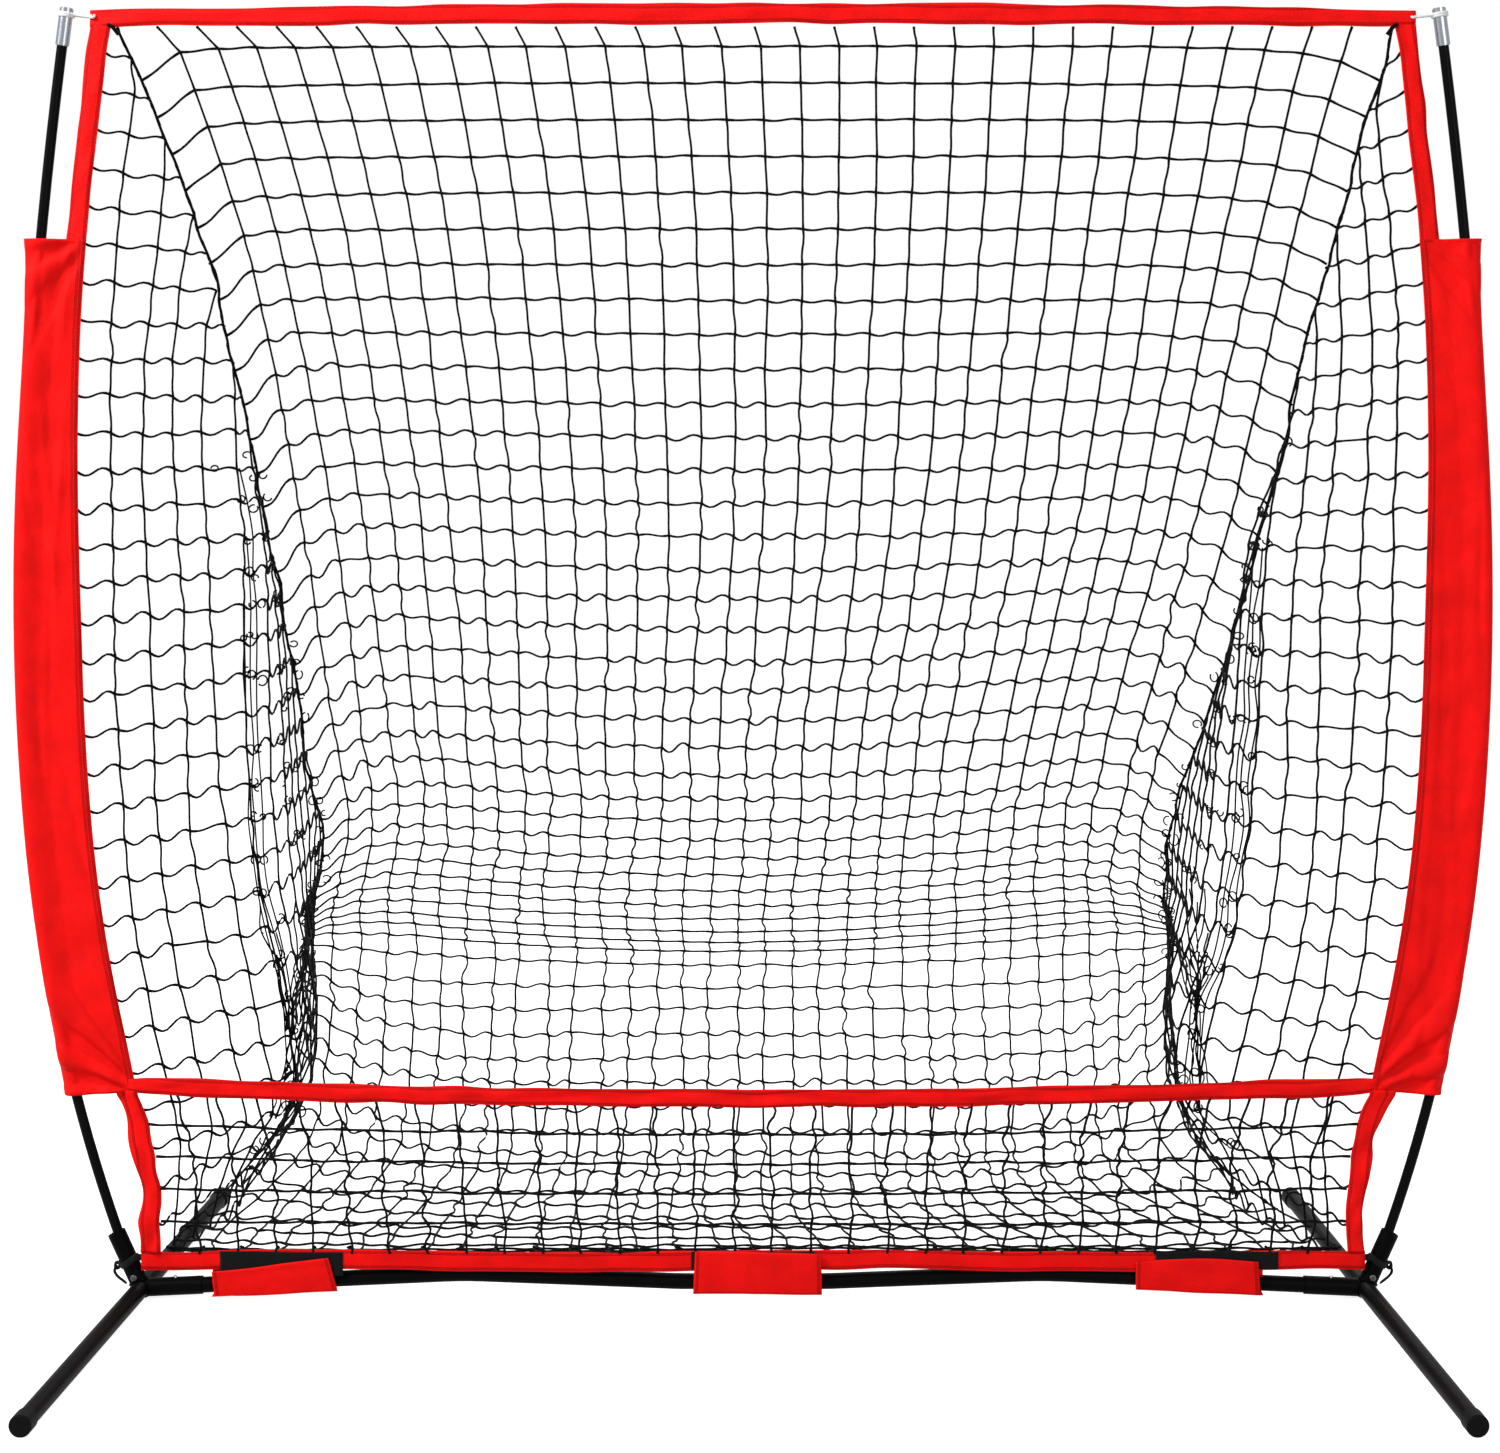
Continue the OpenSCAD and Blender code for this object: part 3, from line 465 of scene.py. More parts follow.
def strands(knots, aside, bend, thicker, reach):
    """Strands through rows of knots (M, N, 3). Between two knots a strand strays by aside
    (M, N - 1, 3) times bend, a value for each step. It is thicker at a knot and reach steps away."""
    steps = len(bend)
    f = np.arange(steps)[:, None] / steps
    line = knots[:, :-1, None] + (knots[:, 1:] - knots[:, :-1])[:, :, None] * f
    line = line + aside[:, :, None] * bend[:, None]
    line = np.concatenate([line.reshape(len(knots), -1, 3), knots[:, -1:]], axis=1)
    step = np.arange(line.shape[1]) % steps
    at_knot = np.minimum(step, steps - step) <= reach
    return line, np.where(at_knot, thicker, 1.0)


def swing(steps, sag=0.0):
    """A wave between two knots, with a sag on top."""
    f = np.linspace(0, 1, steps, endpoint=False)
    return np.sin(2 * math.pi * f) + sag * np.sin(math.pi * f) ** 2


def add_net(tubes, grid, radius, wave, wave_down):
    """Twine along the rows and columns of a grid of knots, but not along its edges. wave and
    wave_down: how far each mesh's twine strays, in a row and in a column."""
    rows, cols, _ = grid.shape
    size = rng.normal(1.0, 0.30, (rows, cols - 1)) * wave
    size *= np.where(rng.random((rows, cols - 1)) < 0.06, -0.5, 1.0)
    down = unit(np.gradient(grid, axis=0))
    aside = (down[:, :-1] + down[:, 1:]) / 2 * size[..., None]
    line, share = strands(grid, aside, swing(8, 0.35), 1.22, 1)
    tubes.add(line[1:-1], radius * share)
    size = rng.normal(0, 1, (rows - 1, cols)) * wave_down
    across = unit(np.gradient(grid, axis=1))
    aside = (across[:-1] + across[1:]) / 2 * size[..., None]
    line, share = strands(grid.transpose(1, 0, 2), aside.transpose(1, 0, 2), swing(5), 1.25, 0)
    tubes.add(line[1:-1], radius * share)


# ---------------- the shape of the bag

def bezier(a, b, c, d, t):
    t = t[:, None]
    a, b, c, d = np.array([a, b, c, d])
    return (1 - t) ** 3 * a + 3 * t * (1 - t) ** 2 * b + 3 * t * t * (1 - t) * c + t ** 3 * d


drop = TOP_Z - FOLD_Z
fall = FOLD_Z - CLEAR
FRONT = (BOTTOM_Y + 0.0045, BOTTOM_TOP + 0.0033)        # where the bag ends, at the bottom border
t = np.linspace(0, 1, 1201)
UPPER = bezier((0.004, TOP_Z), (0.31 * DEPTH, TOP_Z - 0.33 * drop),
               (0.44 * DEPTH, FOLD_Z + 0.215 * drop), (DEPTH, FOLD_Z), t)
LOWER = bezier((DEPTH, FOLD_Z), (0.88 * DEPTH, FOLD_Z - 0.55 * fall),
               (0.42 * DEPTH, CLEAR - 0.36 * fall), FRONT, t)
LOWEST = int(np.argmin(LOWER[:, 1]))
UP_S, LOW_S = run_length(UPPER), run_length(LOWER)
UP_LEN, LOW_LEN = UP_S[-1], LOW_S[-1]
PROFILE = np.vstack([UPPER, LOWER[1:]])
SIGMA = np.r_[UP_S - UP_LEN, LOW_S[1:]]     # length along a seam, zero at the fold

# how far out the seams run, at places along them, as the photo shows it
SEAM = {
    -1: np.array([
        (-1.448, .768), (-1.392, .749), (-1.309, .725), (-1.206, .699), (-1.123, .681),
        (-.989, .662), (-.856, .647), (-.759, .637), (-.665, .630), (-.518, .621), (-.387, .617),
        (-.290, .609), (-.185, .624), (-.046, .664), (.03, .672), (.116, .662), (.187, .658),
        (.302, .658), (.360, .671), (.437, .697), (.526, .723), (.60, .742), (.70, .738),
        (.82, .716)]),
    1: np.array([
        (-1.448, .772), (-1.409, .770), (-1.324, .752), (-1.221, .735), (-1.122, .716),
        (-.960, .692), (-.830, .675), (-.703, .655), (-.611, .637), (-.509, .617), (-.416, .600),
        (-.333, .588), (-.244, .580), (-.122, .588), (.0, .613), (.10, .606), (.294, .596),
        (.360, .604), (.439, .638), (.524, .682), (.601, .726), (.70, .737), (.82, .716)]),
}
# down the middle of the bag: depth and height
MIDDLE = smooth_line([(y, 0, z) for y, z in (
    (.003, TOP_Z + .001), (.028, 1.434), (.066, 1.258), (.118, 1.083), (.177, .911), (.247, .742),
    (.330, .580), (.456, .449), (.601, .339), (.700, .279), (.727, .246), (.683, .218),
    (.577, .141), (.467, .064), (.383, .030), (.293, .017), (.156, .018), (.060, .036),
    FRONT)], 1600)
# where each row of the back is sewn to the seams: row, length along the seam
SEWN = np.array([
    (0, -UP_LEN), (.5, -1.384), (21.5, -.384), (24.5, -.262), (26.5, -.190), (28.5, -.115),
    (30.5, -.060), (32.5, -.020), (34.5, .012), (36.5, .050), (38.5, .110), (40.5, .190),
    (43.5, .330), (47.5, .540), (50.5, .720), (ROWS, LOW_LEN)])
# how much higher a row runs near the sides than in the middle
RISE = np.array([
    (0, 0), (5, .003), (10, .012), (15, .025), (20, .036), (27, .036), (31, .052), (33, .052),
    (35, .028), (36, .0), (38, -.028), (41, -.018), (45, 0), (ROWS, 0)])
# the upright fold in each side: height, how far out
CREASE = {
    -1: np.array([(.02, .600), (.20, .558), (.30, .555), (.40, .584), (.454, .604), (.582, .617),
                  (.892, .625), (1.1, .652), (1.4, .72)]),
    1: np.array([(.02, .580), (.20, .522), (.30, .524), (.41, .572), (.52, .594), (.68, .605),
                 (.892, .620), (1.1, .656), (1.4, .73)]),
}
# how far a row of the side climbs on its way back: height, climb
CLIMB = {
    -1: np.array([(0, 0), (.3, .020), (.8, .015), (1.0, 0), (1.3, -.006)]),
    1: np.array([(0, 0), (.3, .015), (.6, .010), (.8, -.005), (1.0, -.018), (1.2, -.026),
                 (1.5, -.018)]),
}


def table(x, rows):
    return np.interp(x, rows[:, 0], rows[:, 1])


def seam_line(s, side):
    y, z = [np.interp(s, SIGMA, PROFILE[:, i]) for i in (0, 1)]
    return points(side * table(s, SEAM[side]), y, z)


def back_point(u, i):
    """A point of the back: u from -1 to 1 across, i the row, counted from the top."""
    s = table(i, SEWN)
    left, right = seam_line(s, -1), seam_line(s, 1)
    at = i / ROWS * (len(MIDDLE) - 1)
    y_mid, z_mid = [np.interp(at, np.arange(len(MIDDLE)), MIDDLE[:, j]) for j in (0, 2)]
    a = np.abs(u)
    seam = np.where((u < 0)[..., None], left, right)
    x = left[..., 0] * (1 - u) / 2 + right[..., 0] * (1 + u) / 2
    y = y_mid + (seam[..., 1] - y_mid) * ease((a - 0.30) / 0.70) ** 1.5
    # how many meshes in from a seam its height is felt
    levels = [0, 8, 20, 34, ROWS]
    reach = np.where(u < 0, np.interp(i, levels, [.45, .6, 1.8, 2.4, 2.0]),
                     np.interp(i, levels, [1.1, 1.5, 2.0, 2.4, 2.0]))
    rise = table(i, RISE)
    felt = np.exp(-(1 - a) * COLS / 2 / reach)
    z = z_mid + rise * a ** 2 + (seam[..., 2] - z_mid - rise) * felt
    return points(x, y, z)


def seam_at_level(z, side):
    if z >= FOLD_Z:
        s = np.interp(z, UPPER[::-1, 1], (UP_S - UP_LEN)[::-1])
    else:
        s = np.interp(z, LOWER[:LOWEST, 1][::-1], LOW_S[:LOWEST][::-1])
    return seam_line(s, side)


def side_section(z, side):
    """The run of the side net at a level, from its front edge over the crease to the seam."""
    count, bend = 90, 0.35
    climb = table(z, CLIMB[side])
    seam = seam_at_level(z + climb, side)
    edge = np.array([side * (edge_x(z) + 0.003), float(front_y(z)) + 0.003, z])
    crease = np.array([side * table(z, CREASE[side]), CREASE_DEPTH, z])
    straight = edge + (seam - edge) * 0.72
    depth = float(ease((1.30 - z) / 0.40)) * float(0.35 + 0.65 * ease((z - 0.05) / 0.16))
    crease = straight + (crease - straight) * depth
    crease[1] = min(crease[1], seam[1] * 0.8)
    to_edge, to_seam = edge - crease, seam - crease
    t = np.linspace(0, 1, 22)[1:, None]
    run = np.vstack([
        edge - to_edge * np.linspace(0, 1 - bend, 20)[:, None],
        crease + to_edge * bend * (1 - t) ** 2 + to_seam * bend * t ** 2,
        crease + to_seam * np.linspace(bend, 1, 20)[1:, None]])
    run = resample(run, count)
    run[:, 2] = z + climb * np.linspace(0, 1, count) ** 0.8
    return run


def side_point(z, side, share):
    section = side_section(z, side)
    return section[min(len(section) - 1, int(share * (len(section) - 1) + 0.5))]


def crease_point(section):
    return section[int(np.argmin(np.abs(section[:, 1] - CREASE_DEPTH * 0.95)))]


# ---------------- netting

def hang_back():
    tubes = Tubes()
    rows = np.r_[0, np.arange(ROWS) + 0.52, ROWS]
    cols = np.linspace(-1, 1, COLS + 1)
    u, i = np.meshgrid(cols, rows)
    inner = (np.abs(u) < 0.999) & (i > 0.1) & (i < ROWS - 0.1)
    loose = np.interp(i, [0, 6, 18, 30, 40, ROWS], [.25, .35, .7, .9, 1.3, 1.6]) * inner
    u_stray = rng.normal(0, 0.0014, u.shape)
    u_stray = u_stray + noise(COLS + 1, 6, len(rows)).T * 0.0022
    i_stray = rng.normal(0, 0.024, u.shape)
    i_stray = i_stray + noise(len(rows), 7, COLS + 1) * 0.034
    grid = back_point(u + u_stray * loose / 0.7, i + i_stray * loose)
    grid[..., 1] += rng.normal(0, 0.0012, u.shape) * loose
    grid[..., 2] = np.maximum(grid[..., 2], FLOOR_Z)
    # slack of the rows, more of it beside the seams
    slack = np.interp(rows, [0, 5, 10, 15, 22, 29, 31, 34, 36, 40, 47, ROWS],
                      [.10, .28, .6, .95, 1.1, .9, .35, .3, .6, 1.2, 1.9, .8])
    out = (np.abs(cols[:-1]) + np.abs(cols[1:])) / 2
    slack = slack[:, None] * (1 + 0.8 * ease((out - 0.70) / 0.25))
    slack[:, -1] *= 0.6
    down = np.interp(rows[:-1], [0, 10, 20, 32, 40, ROWS], [.25, .5, .9, 1.0, 1.5, 1.8])
    add_net(tubes, grid, TWINE_R, 0.0036 * slack, 0.0013 * down[:, None])
    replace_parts(tubes.build("netting_back", twine, "net_twine"), "net_back")


def place_knots(run, level, shift):
    """The knots along one row of a side net, from its front edge back."""
    d = run_length(run)
    whole = int((d[-1] - 0.008) / SIDE_PITCH)
    n = min(whole, int(np.interp(level, [0.05, 0.30, 0.42], [8, 13, whole])))
    step = SIDE_PITCH if n == whole else (d[-1] - EVEN * SIDE_PITCH) / (n + 1 - EVEN)
    row = []
    for c in range(n + 1):
        x = min(c, EVEN) * SIDE_PITCH + max(0, c - EVEN) * step
        if c:
            x += shift[c] + rng.normal(0, 0.0012)
        x = min(d[-1] - 0.002, max(0.0, x))
        knot = np.array([np.interp(x, d, run[:, j]) for j in range(3)])
        if c:
            knot[2] += rng.normal(0, 0.0012)
        row.append(knot)
    return row


def side_row(tubes, chain, level):
    """A row of twine that hangs in a wave of its own between each two knots."""
    wild = float(ease((1.25 - level) / 0.5))
    aside = np.zeros((1, len(chain) - 1, 3))
    for i, (a, b) in enumerate(zip(chain, chain[1:])):
        size = 0.0030 + 0.0012 * wild
        if a[1] > CREASE_DEPTH * 0.75:
            size += 0.0024 * wild
        gap = min(1, np.linalg.norm(b - a) / SIDE_PITCH)
        aside[0, i, 2] = -rng.normal(1, 0.3) * gap * size
    line, share = strands(np.array([chain]), aside, swing(8, 0.4), 1.22, 1)
    share[-1] = 1
    tubes.add(line, TWINE_R * share)


def uprights(rows, sections, c):
    """The knots that upright c of a side net goes through, from seam to seam."""
    run = []
    for i, row in enumerate(rows + [[]]):
        if c < len(row):
            if not run and i:
                run.append(sections[i - 1][-1])
            run.append(row[c])
        elif run:
            if i < len(rows):
                run.append(sections[i][-1])
            if len(run) > 1:
                yield np.array([run])
            run = []


def side_net(side, name):
    """One side of the bag. Returns its levels and the run of the net at each."""
    tubes = Tubes()
    levels = np.arange(TOP_Z - 0.030, float(LOWER[:, 1].min()) + 0.020, -SIDE_DROP)
    sections = [side_section(z, side) for z in levels]
    count = int(max(run_length(run)[-1] for run in sections) / SIDE_PITCH) + 1
    shift = noise(count, 5, len(levels)) * 0.0030
    rows = []
    for i, (level, run) in enumerate(zip(levels, sections)):
        rows.append(place_knots(run, level, shift[:, i]))
        side_row(tubes, rows[-1] + [run[-1]], level)
    for c in range(1, count):
        for run in uprights(rows, sections, c):
            aside = np.zeros((1, run.shape[1] - 1, 3))
            aside[0, :, 0] = rng.normal(0, 0.0009, run.shape[1] - 1)
            line, share = strands(run, aside, swing(5), 1.25, 0)
            tubes.add(line, TWINE_R * share)
    piece = tubes.build("netting_side_" + name, twine, "net_twine")
    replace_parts(piece, "net_side_" + name)
    return levels, sections


def low_front_net():
    tubes = Tubes()
    share = np.linspace(-1, 1, LOW_COLS + 1)
    zs = np.linspace(BAND_Z + 0.004, BOTTOM_TOP - 0.004, LOW_ROWS + 1)
    grid = np.zeros((len(zs), len(share), 3))
    for row, z in zip(grid, zs):
        half = float(edge_x(z)) - 0.0005
        sag = BAND_SAG * (1 - share ** 2) * (z - BOTTOM_TOP) / (BAND_Z - BOTTOM_TOP)
        row[:] = points(half * share, front_y(z), z - sag)
    inner = np.zeros(grid.shape[:2])
    inner[1:-1, 1:-1] = 1
    grid[..., 0] += rng.normal(0, 0.0022, inner.shape) * inner
    grid[..., 0] += noise(len(zs), 7, len(share)) * 0.004 * inner
    grid[..., 2] += rng.normal(0, 0.0007, inner.shape) * inner
    add_net(tubes, grid, TWINE_R * 1.08, 0.0006, 0.0022)
    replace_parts(tubes.build("netting_front_low", twine, "net_twine"), "net_front_lower")


# ---------------- seam ropes and loose twine

def seam_rope(side, name):
    s = np.concatenate([np.linspace(-UP_LEN, 0, 190), np.linspace(0, LOW_LEN, 110)[1:]])
    n = len(s)
    free = ease((s + UP_LEN) / 0.1) * ease((LOW_LEN - s) / 0.1)
    p = seam_line(s, side)
    p[:, 0] += (waver(7, n) * 0.0016 + waver(2.2, n) * 0.0007) * free
    p[:, 1] += waver(7, n) * 0.0020 * free
    p[:, 2] = np.maximum(p[:, 2], FLOOR_Z)
    knotty = np.interp(s, [-UP_LEN, -1.0, -.6, -.1, .1, .4, LOW_LEN], [.3, .7, 1.2, 1.6, 1.2, .8, .3])
    bumps = np.clip(waver(1.6, n) - 0.9, 0, 1.4) * 0.0022 * knotty
    tubes = Tubes(8)
    tubes.add(p, np.interp(s, [-0.10, 0.10], [0.0018, 0.0014]) + bumps)
    # a thread wound round it
    turns = np.linspace(0, 2 * math.pi * 58, n)
    tubes.add(p + 0.0017 * points(np.cos(turns), np.sin(turns), 0), 0.0009)
    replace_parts(tubes.build("seam_cord_" + name, rope_mat, "net_twine"), "seam_rope_" + name)


def twine_curl(tubes, at, size, turn):
    a = np.linspace(0, turn, 14) + rng.uniform(0, 6.28)
    tall = rng.uniform(0.7, 1.3)
    ring = size * points(np.cos(a), 0.4 * np.sin(a), np.sin(a) * tall)
    tubes.add(at + ring, LOOP_R)


def stray(line, scale, size):
    """Lets a line wander, by a size for each of x, y and z."""
    for axis, amount in enumerate(size):
        if amount:
            line[:, axis] += waver(scale, len(line)) * amount
    return line


def seam_curls(tubes, side):
    for s in np.r_[rng.uniform(-0.62, 0.10, 26), rng.uniform(-1.1, 0.30, 8)]:
        size = rng.uniform(0.003, 0.0065)
        away = np.array([rng.choice([-1, 1]) * size * 1.3, 0, rng.normal(0, 0.004)])
        twine_curl(tubes, seam_line(s, side) + away, size, rng.uniform(3.4, 5.8))


def crease_twine(tubes, side, levels, sections):
    """Curls at the crease and behind it, and three strands down the crease."""
    lines = [[], [], []]
    for z, run in zip(levels, sections):
        if not 0.10 < z < 1.02:
            continue
        crease = crease_point(run)
        full = float(ease((1.05 - z) / 0.2))
        for share in (-1.6, 1):
            if rng.random() < 0.9 * full:
                size = rng.uniform(0.0035, 0.0062)
                out = side * rng.uniform(-0.002, 0.010) * share
                away = np.array([out, 0, rng.normal(0, 0.005)])
                twine_curl(tubes, crease + away, size, rng.uniform(4.4, 6.3))
        for _ in range(3):
            if rng.random() < 0.75 * full and z > 0.33:
                at = run[int(rng.uniform(0.55, 0.97) * (len(run) - 1))]
                at = at + np.array([0, 0, rng.normal(0, 0.006)])
                twine_curl(tubes, at, rng.uniform(0.003, 0.005), rng.uniform(2.6, 5.6))
        for i, out in enumerate((-0.007, 0.001, 0.009)):
            if 0.12 + 0.04 * i < z < 1.02 - 0.09 * i:
                away = [side * out + rng.normal(0, 0.0014), rng.normal(0, .003), 0]
                lines[i].append(crease + np.array(away))
    for line in lines:
        tubes.add(smooth_line(line, 110), LOOP_R)


def gathers(tubes, side):
    """The side net gathered from the corner of the fold forward to the foot of the crease."""
    meet = 0.29 if side < 0 else 0.31
    way = np.linspace(0, 1, 26)[:, None]
    for i in range(12):
        if i < 6:
            share, z = 0.97, rng.uniform(0.30, 0.35)
        else:
            share, z = rng.uniform(0.30, 0.80), rng.uniform(0.36, 0.46)
        start = side_point(z, side, share)
        end = crease_point(side_section(meet + rng.normal(0, 0.009), side))
        end = end + rng.normal(0, 0.003, 3)
        tubes.add(stray(start + (end - start) * way, 4, (0.0036, 0, 0.0050)), 0.0012)
    # fraying out below it
    for _ in range(4):
        start = crease_point(side_section(meet, side)) + rng.normal(0, 0.003, 3)
        end = crease_point(side_section(rng.uniform(0.15, 0.21), side)) + rng.normal(0, 0.008, 3)
        tubes.add(stray(start + (end - start) * way, 4, (0.0035, 0, 0)), 0.0011)
    # the bundle at the corner and below it
    for _ in range(4):
        s = np.linspace(rng.uniform(-0.13, -0.05), rng.uniform(0.0, 0.05), 26)
        tubes.add(stray(seam_line(s, side), 5, (0.0042, 0.0045, 0.003)), 0.0011)


def loose_twine(side, name, levels, sections):
    tubes = Tubes()
    seam_curls(tubes, side)
    crease_twine(tubes, side, levels, sections)
    gathers(tubes, side)
    tubes.build("seam_loops_" + name, rope_mat, "net_twine")


# ---------------- cloth

def cloth(name, sections, mat, body=ROOT, folded=False):
    """sections: (N, M, 3) cross-sections, front then back; UV is metres along and across.
    A folded cloth is doubled at its outer edge and has its two raw edges on each other."""
    n, m, _ = sections.shape
    half = m // 2
    i = np.arange(n - 1)[:, None]
    j = np.arange(m - 1 if folded else m)[None, :]
    k = (j + 1) % m
    f = np.stack([i * m + j, (i + 1) * m + j, (i + 1) * m + k, i * m + k], -1)
    # close the two ends between front and back, which meet at the first edge of a folded cloth
    ends = []
    for base, flip in ((0, False), ((n - 1) * m, True)):
        for q in range(half - 1):
            end = [base + q, base + q + 1, base + m - 2 - q, base + m - 1 - q]
            if folded and q == 0:
                end.pop()
            ends.append(end[::-1] if flip else end)
    front, back = sections[:, :half], sections[:, half:][:, ::-1]
    across = []
    for skin in (front, back):
        steps = np.linalg.norm(np.diff(skin, axis=1), axis=2)
        across.append(np.concatenate([np.zeros((n, 1)), np.cumsum(steps, axis=1)], 1))
    across = np.concatenate([across[0], across[1][:, ::-1]], 1)
    along = np.repeat(run_length(sections.mean(1)), m)
    uvs = np.stack([along, across.ravel()], 1)
    faces = f.reshape(-1, 4).tolist() + ends
    verts = row_frame(sections.reshape(-1, 3))
    return mesh_object(name, verts, faces, mat, uvs=uvs, body=body)


def skins(middle, ahead, behind):
    """Cross-sections of a cloth that reaches so far before and behind its middle."""
    front, back = middle.copy(), middle.copy()
    front[..., 1] -= ahead
    back[..., 1] += behind
    return np.concatenate([front, back[:, ::-1]], axis=1)


def stretched(piece, replaced):
    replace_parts(piece, replaced)


def wrinkles(lines, length, width, scales, phase):
    """Soft wrinkles across a strip, the sum of so many waves."""
    v = np.linspace(0, 1, width)
    total = np.zeros((length, width))
    for _ in range(lines):
        along = waver(rng.uniform(*scales), length)
        turn = math.pi * rng.integers(0, 3) * v
        total += np.outer(along, np.cos(turn + (rng.uniform(0, 6) if phase else 0)))
    return total / 2


def strip(name, inner, outer, mat, thick=0.0024, puff=0.0006, wrinkle=0.0005, edge_wave=0.0006):
    """A hemmed strip between two edge lines (N, 3), which faces -Y."""
    n = len(inner)
    v = np.linspace(0, 1, 10)
    wobble = noise(4, 7, n) * edge_wave     # of four drawn, two are used
    wide = unit(outer - inner)
    inner = inner + wide * wobble[0][:, None]
    outer = outer + wide * wobble[1][:, None]
    mid = inner[:, None] + (outer - inner)[:, None] * v[:, None]
    dome = 1 - (2 * v - 1) ** 4
    half = thick / 2 * (0.35 + 0.65 * dome) + puff * dome
    folds = wrinkles(5, n, len(v), (4, 10), True) * wrinkle
    ahead, behind = half + folds, half - folds
    ahead[:, 0] = behind[:, 0] = 0
    return cloth(name, skins(mid, ahead, behind), mat, folded=True)


def top_border():
    half = TOP_HALF + HEM
    x = np.linspace(-half, half, 240)
    crown = CROWN * (1 - (x / half) ** 2)
    piece = strip("top_hem", points(x, 0, TOP_Z + 0.4 * crown), points(x, 0, TOP_Z + 0.020 + crown),
                  red_border, wrinkle=0.0009, edge_wave=0.0008)
    stretched(piece, "top_border")


def side_border(side, name):
    """From the pocket up to the top border."""
    z = np.linspace(POCKET_TOP - 0.004, TOP_Z + 0.003, 60)
    x = inner_x(z)
    piece = strip("side_hem_" + name, points(side * x, -0.0003, z),
                  points(side * (x + HEM), -0.0003, z), red_border, wrinkle=0.0008)
    stretched(piece, "side_border_" + name)


def pocket_folds(side, out, up, span):
    """Folds of a pocket, out from its inner edge and up from its lower end."""
    n, width = out.shape
    w = np.zeros((n, width))
    # long soft creases that lean along the pole
    for _ in range(14):
        lean = rng.uniform(-0.5, 0.5)
        length = rng.uniform(0.05, 0.16)
        across = out - rng.uniform(0.01, 0.075)
        across = across - (up - rng.uniform(0, span)) * math.tan(lean) * 0.25
        near = np.exp(-((up - rng.uniform(0, span)) / length) ** 2)
        w += rng.choice([-1, 1]) * 0.0014 * near * np.exp(-(across / 0.006) ** 2)
    w += 0.0006 * waver(12, n)[:, None] * np.sin(math.pi * np.linspace(0, 1, width))
    # folds that fan out from the inner corners at the two ends
    for away, size, turns in ((up, 0.0058, 13.0), (span - up, 0.0030, 10.0)):
        angle = np.arctan2(away + 0.004, out + 0.006)
        r = np.hypot(out, away)
        fan = np.sin(turns * angle + (0.8 if side < 0 else 2.1))
        w += size * np.exp(-(r / 0.15) ** 2) * ease(r / 0.035) * np.abs(fan) ** 0.6 * np.sign(fan)
    return w * np.clip(out / 0.02, 0.10, 1)


def pocket(side, name):
    """The sleeve round a pole, flat from its inner edge to the pole and round about it."""
    n, width, round_r, pole_room = 360, 46, 0.0087, 0.0080
    s = np.linspace(*POCKET, n)
    pole_out, pole_up, heading = np.array([pole(at) for at in s]).T
    normal = points(np.sin(heading), 0, -np.cos(heading))       # outwards from the pole
    wide = np.maximum(0.03, inset(pole_up) / normal[:, 0])[:, None]
    flare = 0.011 * np.exp(-(s[-1] - s) / 0.07) + 0.004 * np.exp(-(s - s[0]) / 0.05)
    reach = (0.0092 + flare)[:, None]
    d = (wide + reach) * np.linspace(0, 1, width) - wide        # outwards from the pole
    out = d + wide
    sleeve = np.sqrt(np.clip(1 - (d / (reach + 1e-6)) ** 2, 0.0, 1)) * round_r
    flat = np.maximum(0.0016, round_r * np.exp(-(d / 0.021) ** 2))
    bulge = np.maximum(np.where(d >= 0, sleeve, flat), 0.0004) * np.clip(out / 0.004, 0.25, 1)
    w = pocket_folds(side, out, (s - s[0])[:, None], s[-1] - s[0])
    room = np.sqrt(np.clip(pole_room ** 2 - d ** 2, 0, None)) + 0.0002
    lift = waver(12, n)[:, None] * 0.0010 * ease(-(d + 0.012) / 0.02)
    middle = normal[:, None] * d[..., None] + points(pole_out, 0, pole_up)[:, None]
    middle[..., 0] *= side
    # level the two ends
    for end, away in ((0, s - s[0]), (-1, s[-1] - s)):
        middle[..., 2] -= 0.9 * np.exp(-away / 0.03)[:, None] * normal[end, 2] * d
    least = np.maximum(bulge * 0.4, room)
    ahead = np.maximum(bulge + w, least) - lift
    behind = np.maximum(bulge - w * 0.5, least) + lift
    ahead[:, 0] = behind[:, 0] = 0
    piece = cloth("pocket_" + name, skins(middle, ahead, behind), red_pocket, folded=True)
    stretched(piece, "pole_pocket_" + name)


def front_band():
    """Across the front, above the low front net."""
    half = float(inner_x(BAND_Z)) + 0.010
    x = np.linspace(-half, half, 240)
    sag = BAND_SAG * (1 - (x / half) ** 2)
    pinch = 0.004 * np.exp(-(half - np.abs(x)) / 0.018)
    piece = strip("band_hem", points(x, -0.0014, BAND_Z + 0.001 - sag + pinch),
                  points(x, -0.0014, BAND_Z + 0.0235 - sag - pinch), red_hem,
                  wrinkle=0.0010, edge_wave=0.0007)
    stretched(piece, "front_band")


def lower_border(side, name):
    """From the pocket down to the bottom border; it ripples."""
    z = np.linspace(BOTTOM_TOP - 0.002, BAND_Z + 0.006, 70)
    up = z - BOTTOM_TOP
    x = edge_x(np.minimum(z, BAND_Z - 1e-6))
    y = front_y(z) - 0.0004
    wave = 0.0035 * np.sin(up * 62 + (0.4 if side < 0 else 2.0)) * ease(up / 0.05)
    out = x + HEM + wave + 0.004 * ease((z - 0.15) / 0.08)
    piece = strip("low_hem_" + name, points(side * (x + wave * 0.3), y, z),
                  points(side * out, y, z), red_border, wrinkle=0.0022, edge_wave=0.0012, puff=0.0010)
    stretched(piece, "lower_border_" + name)


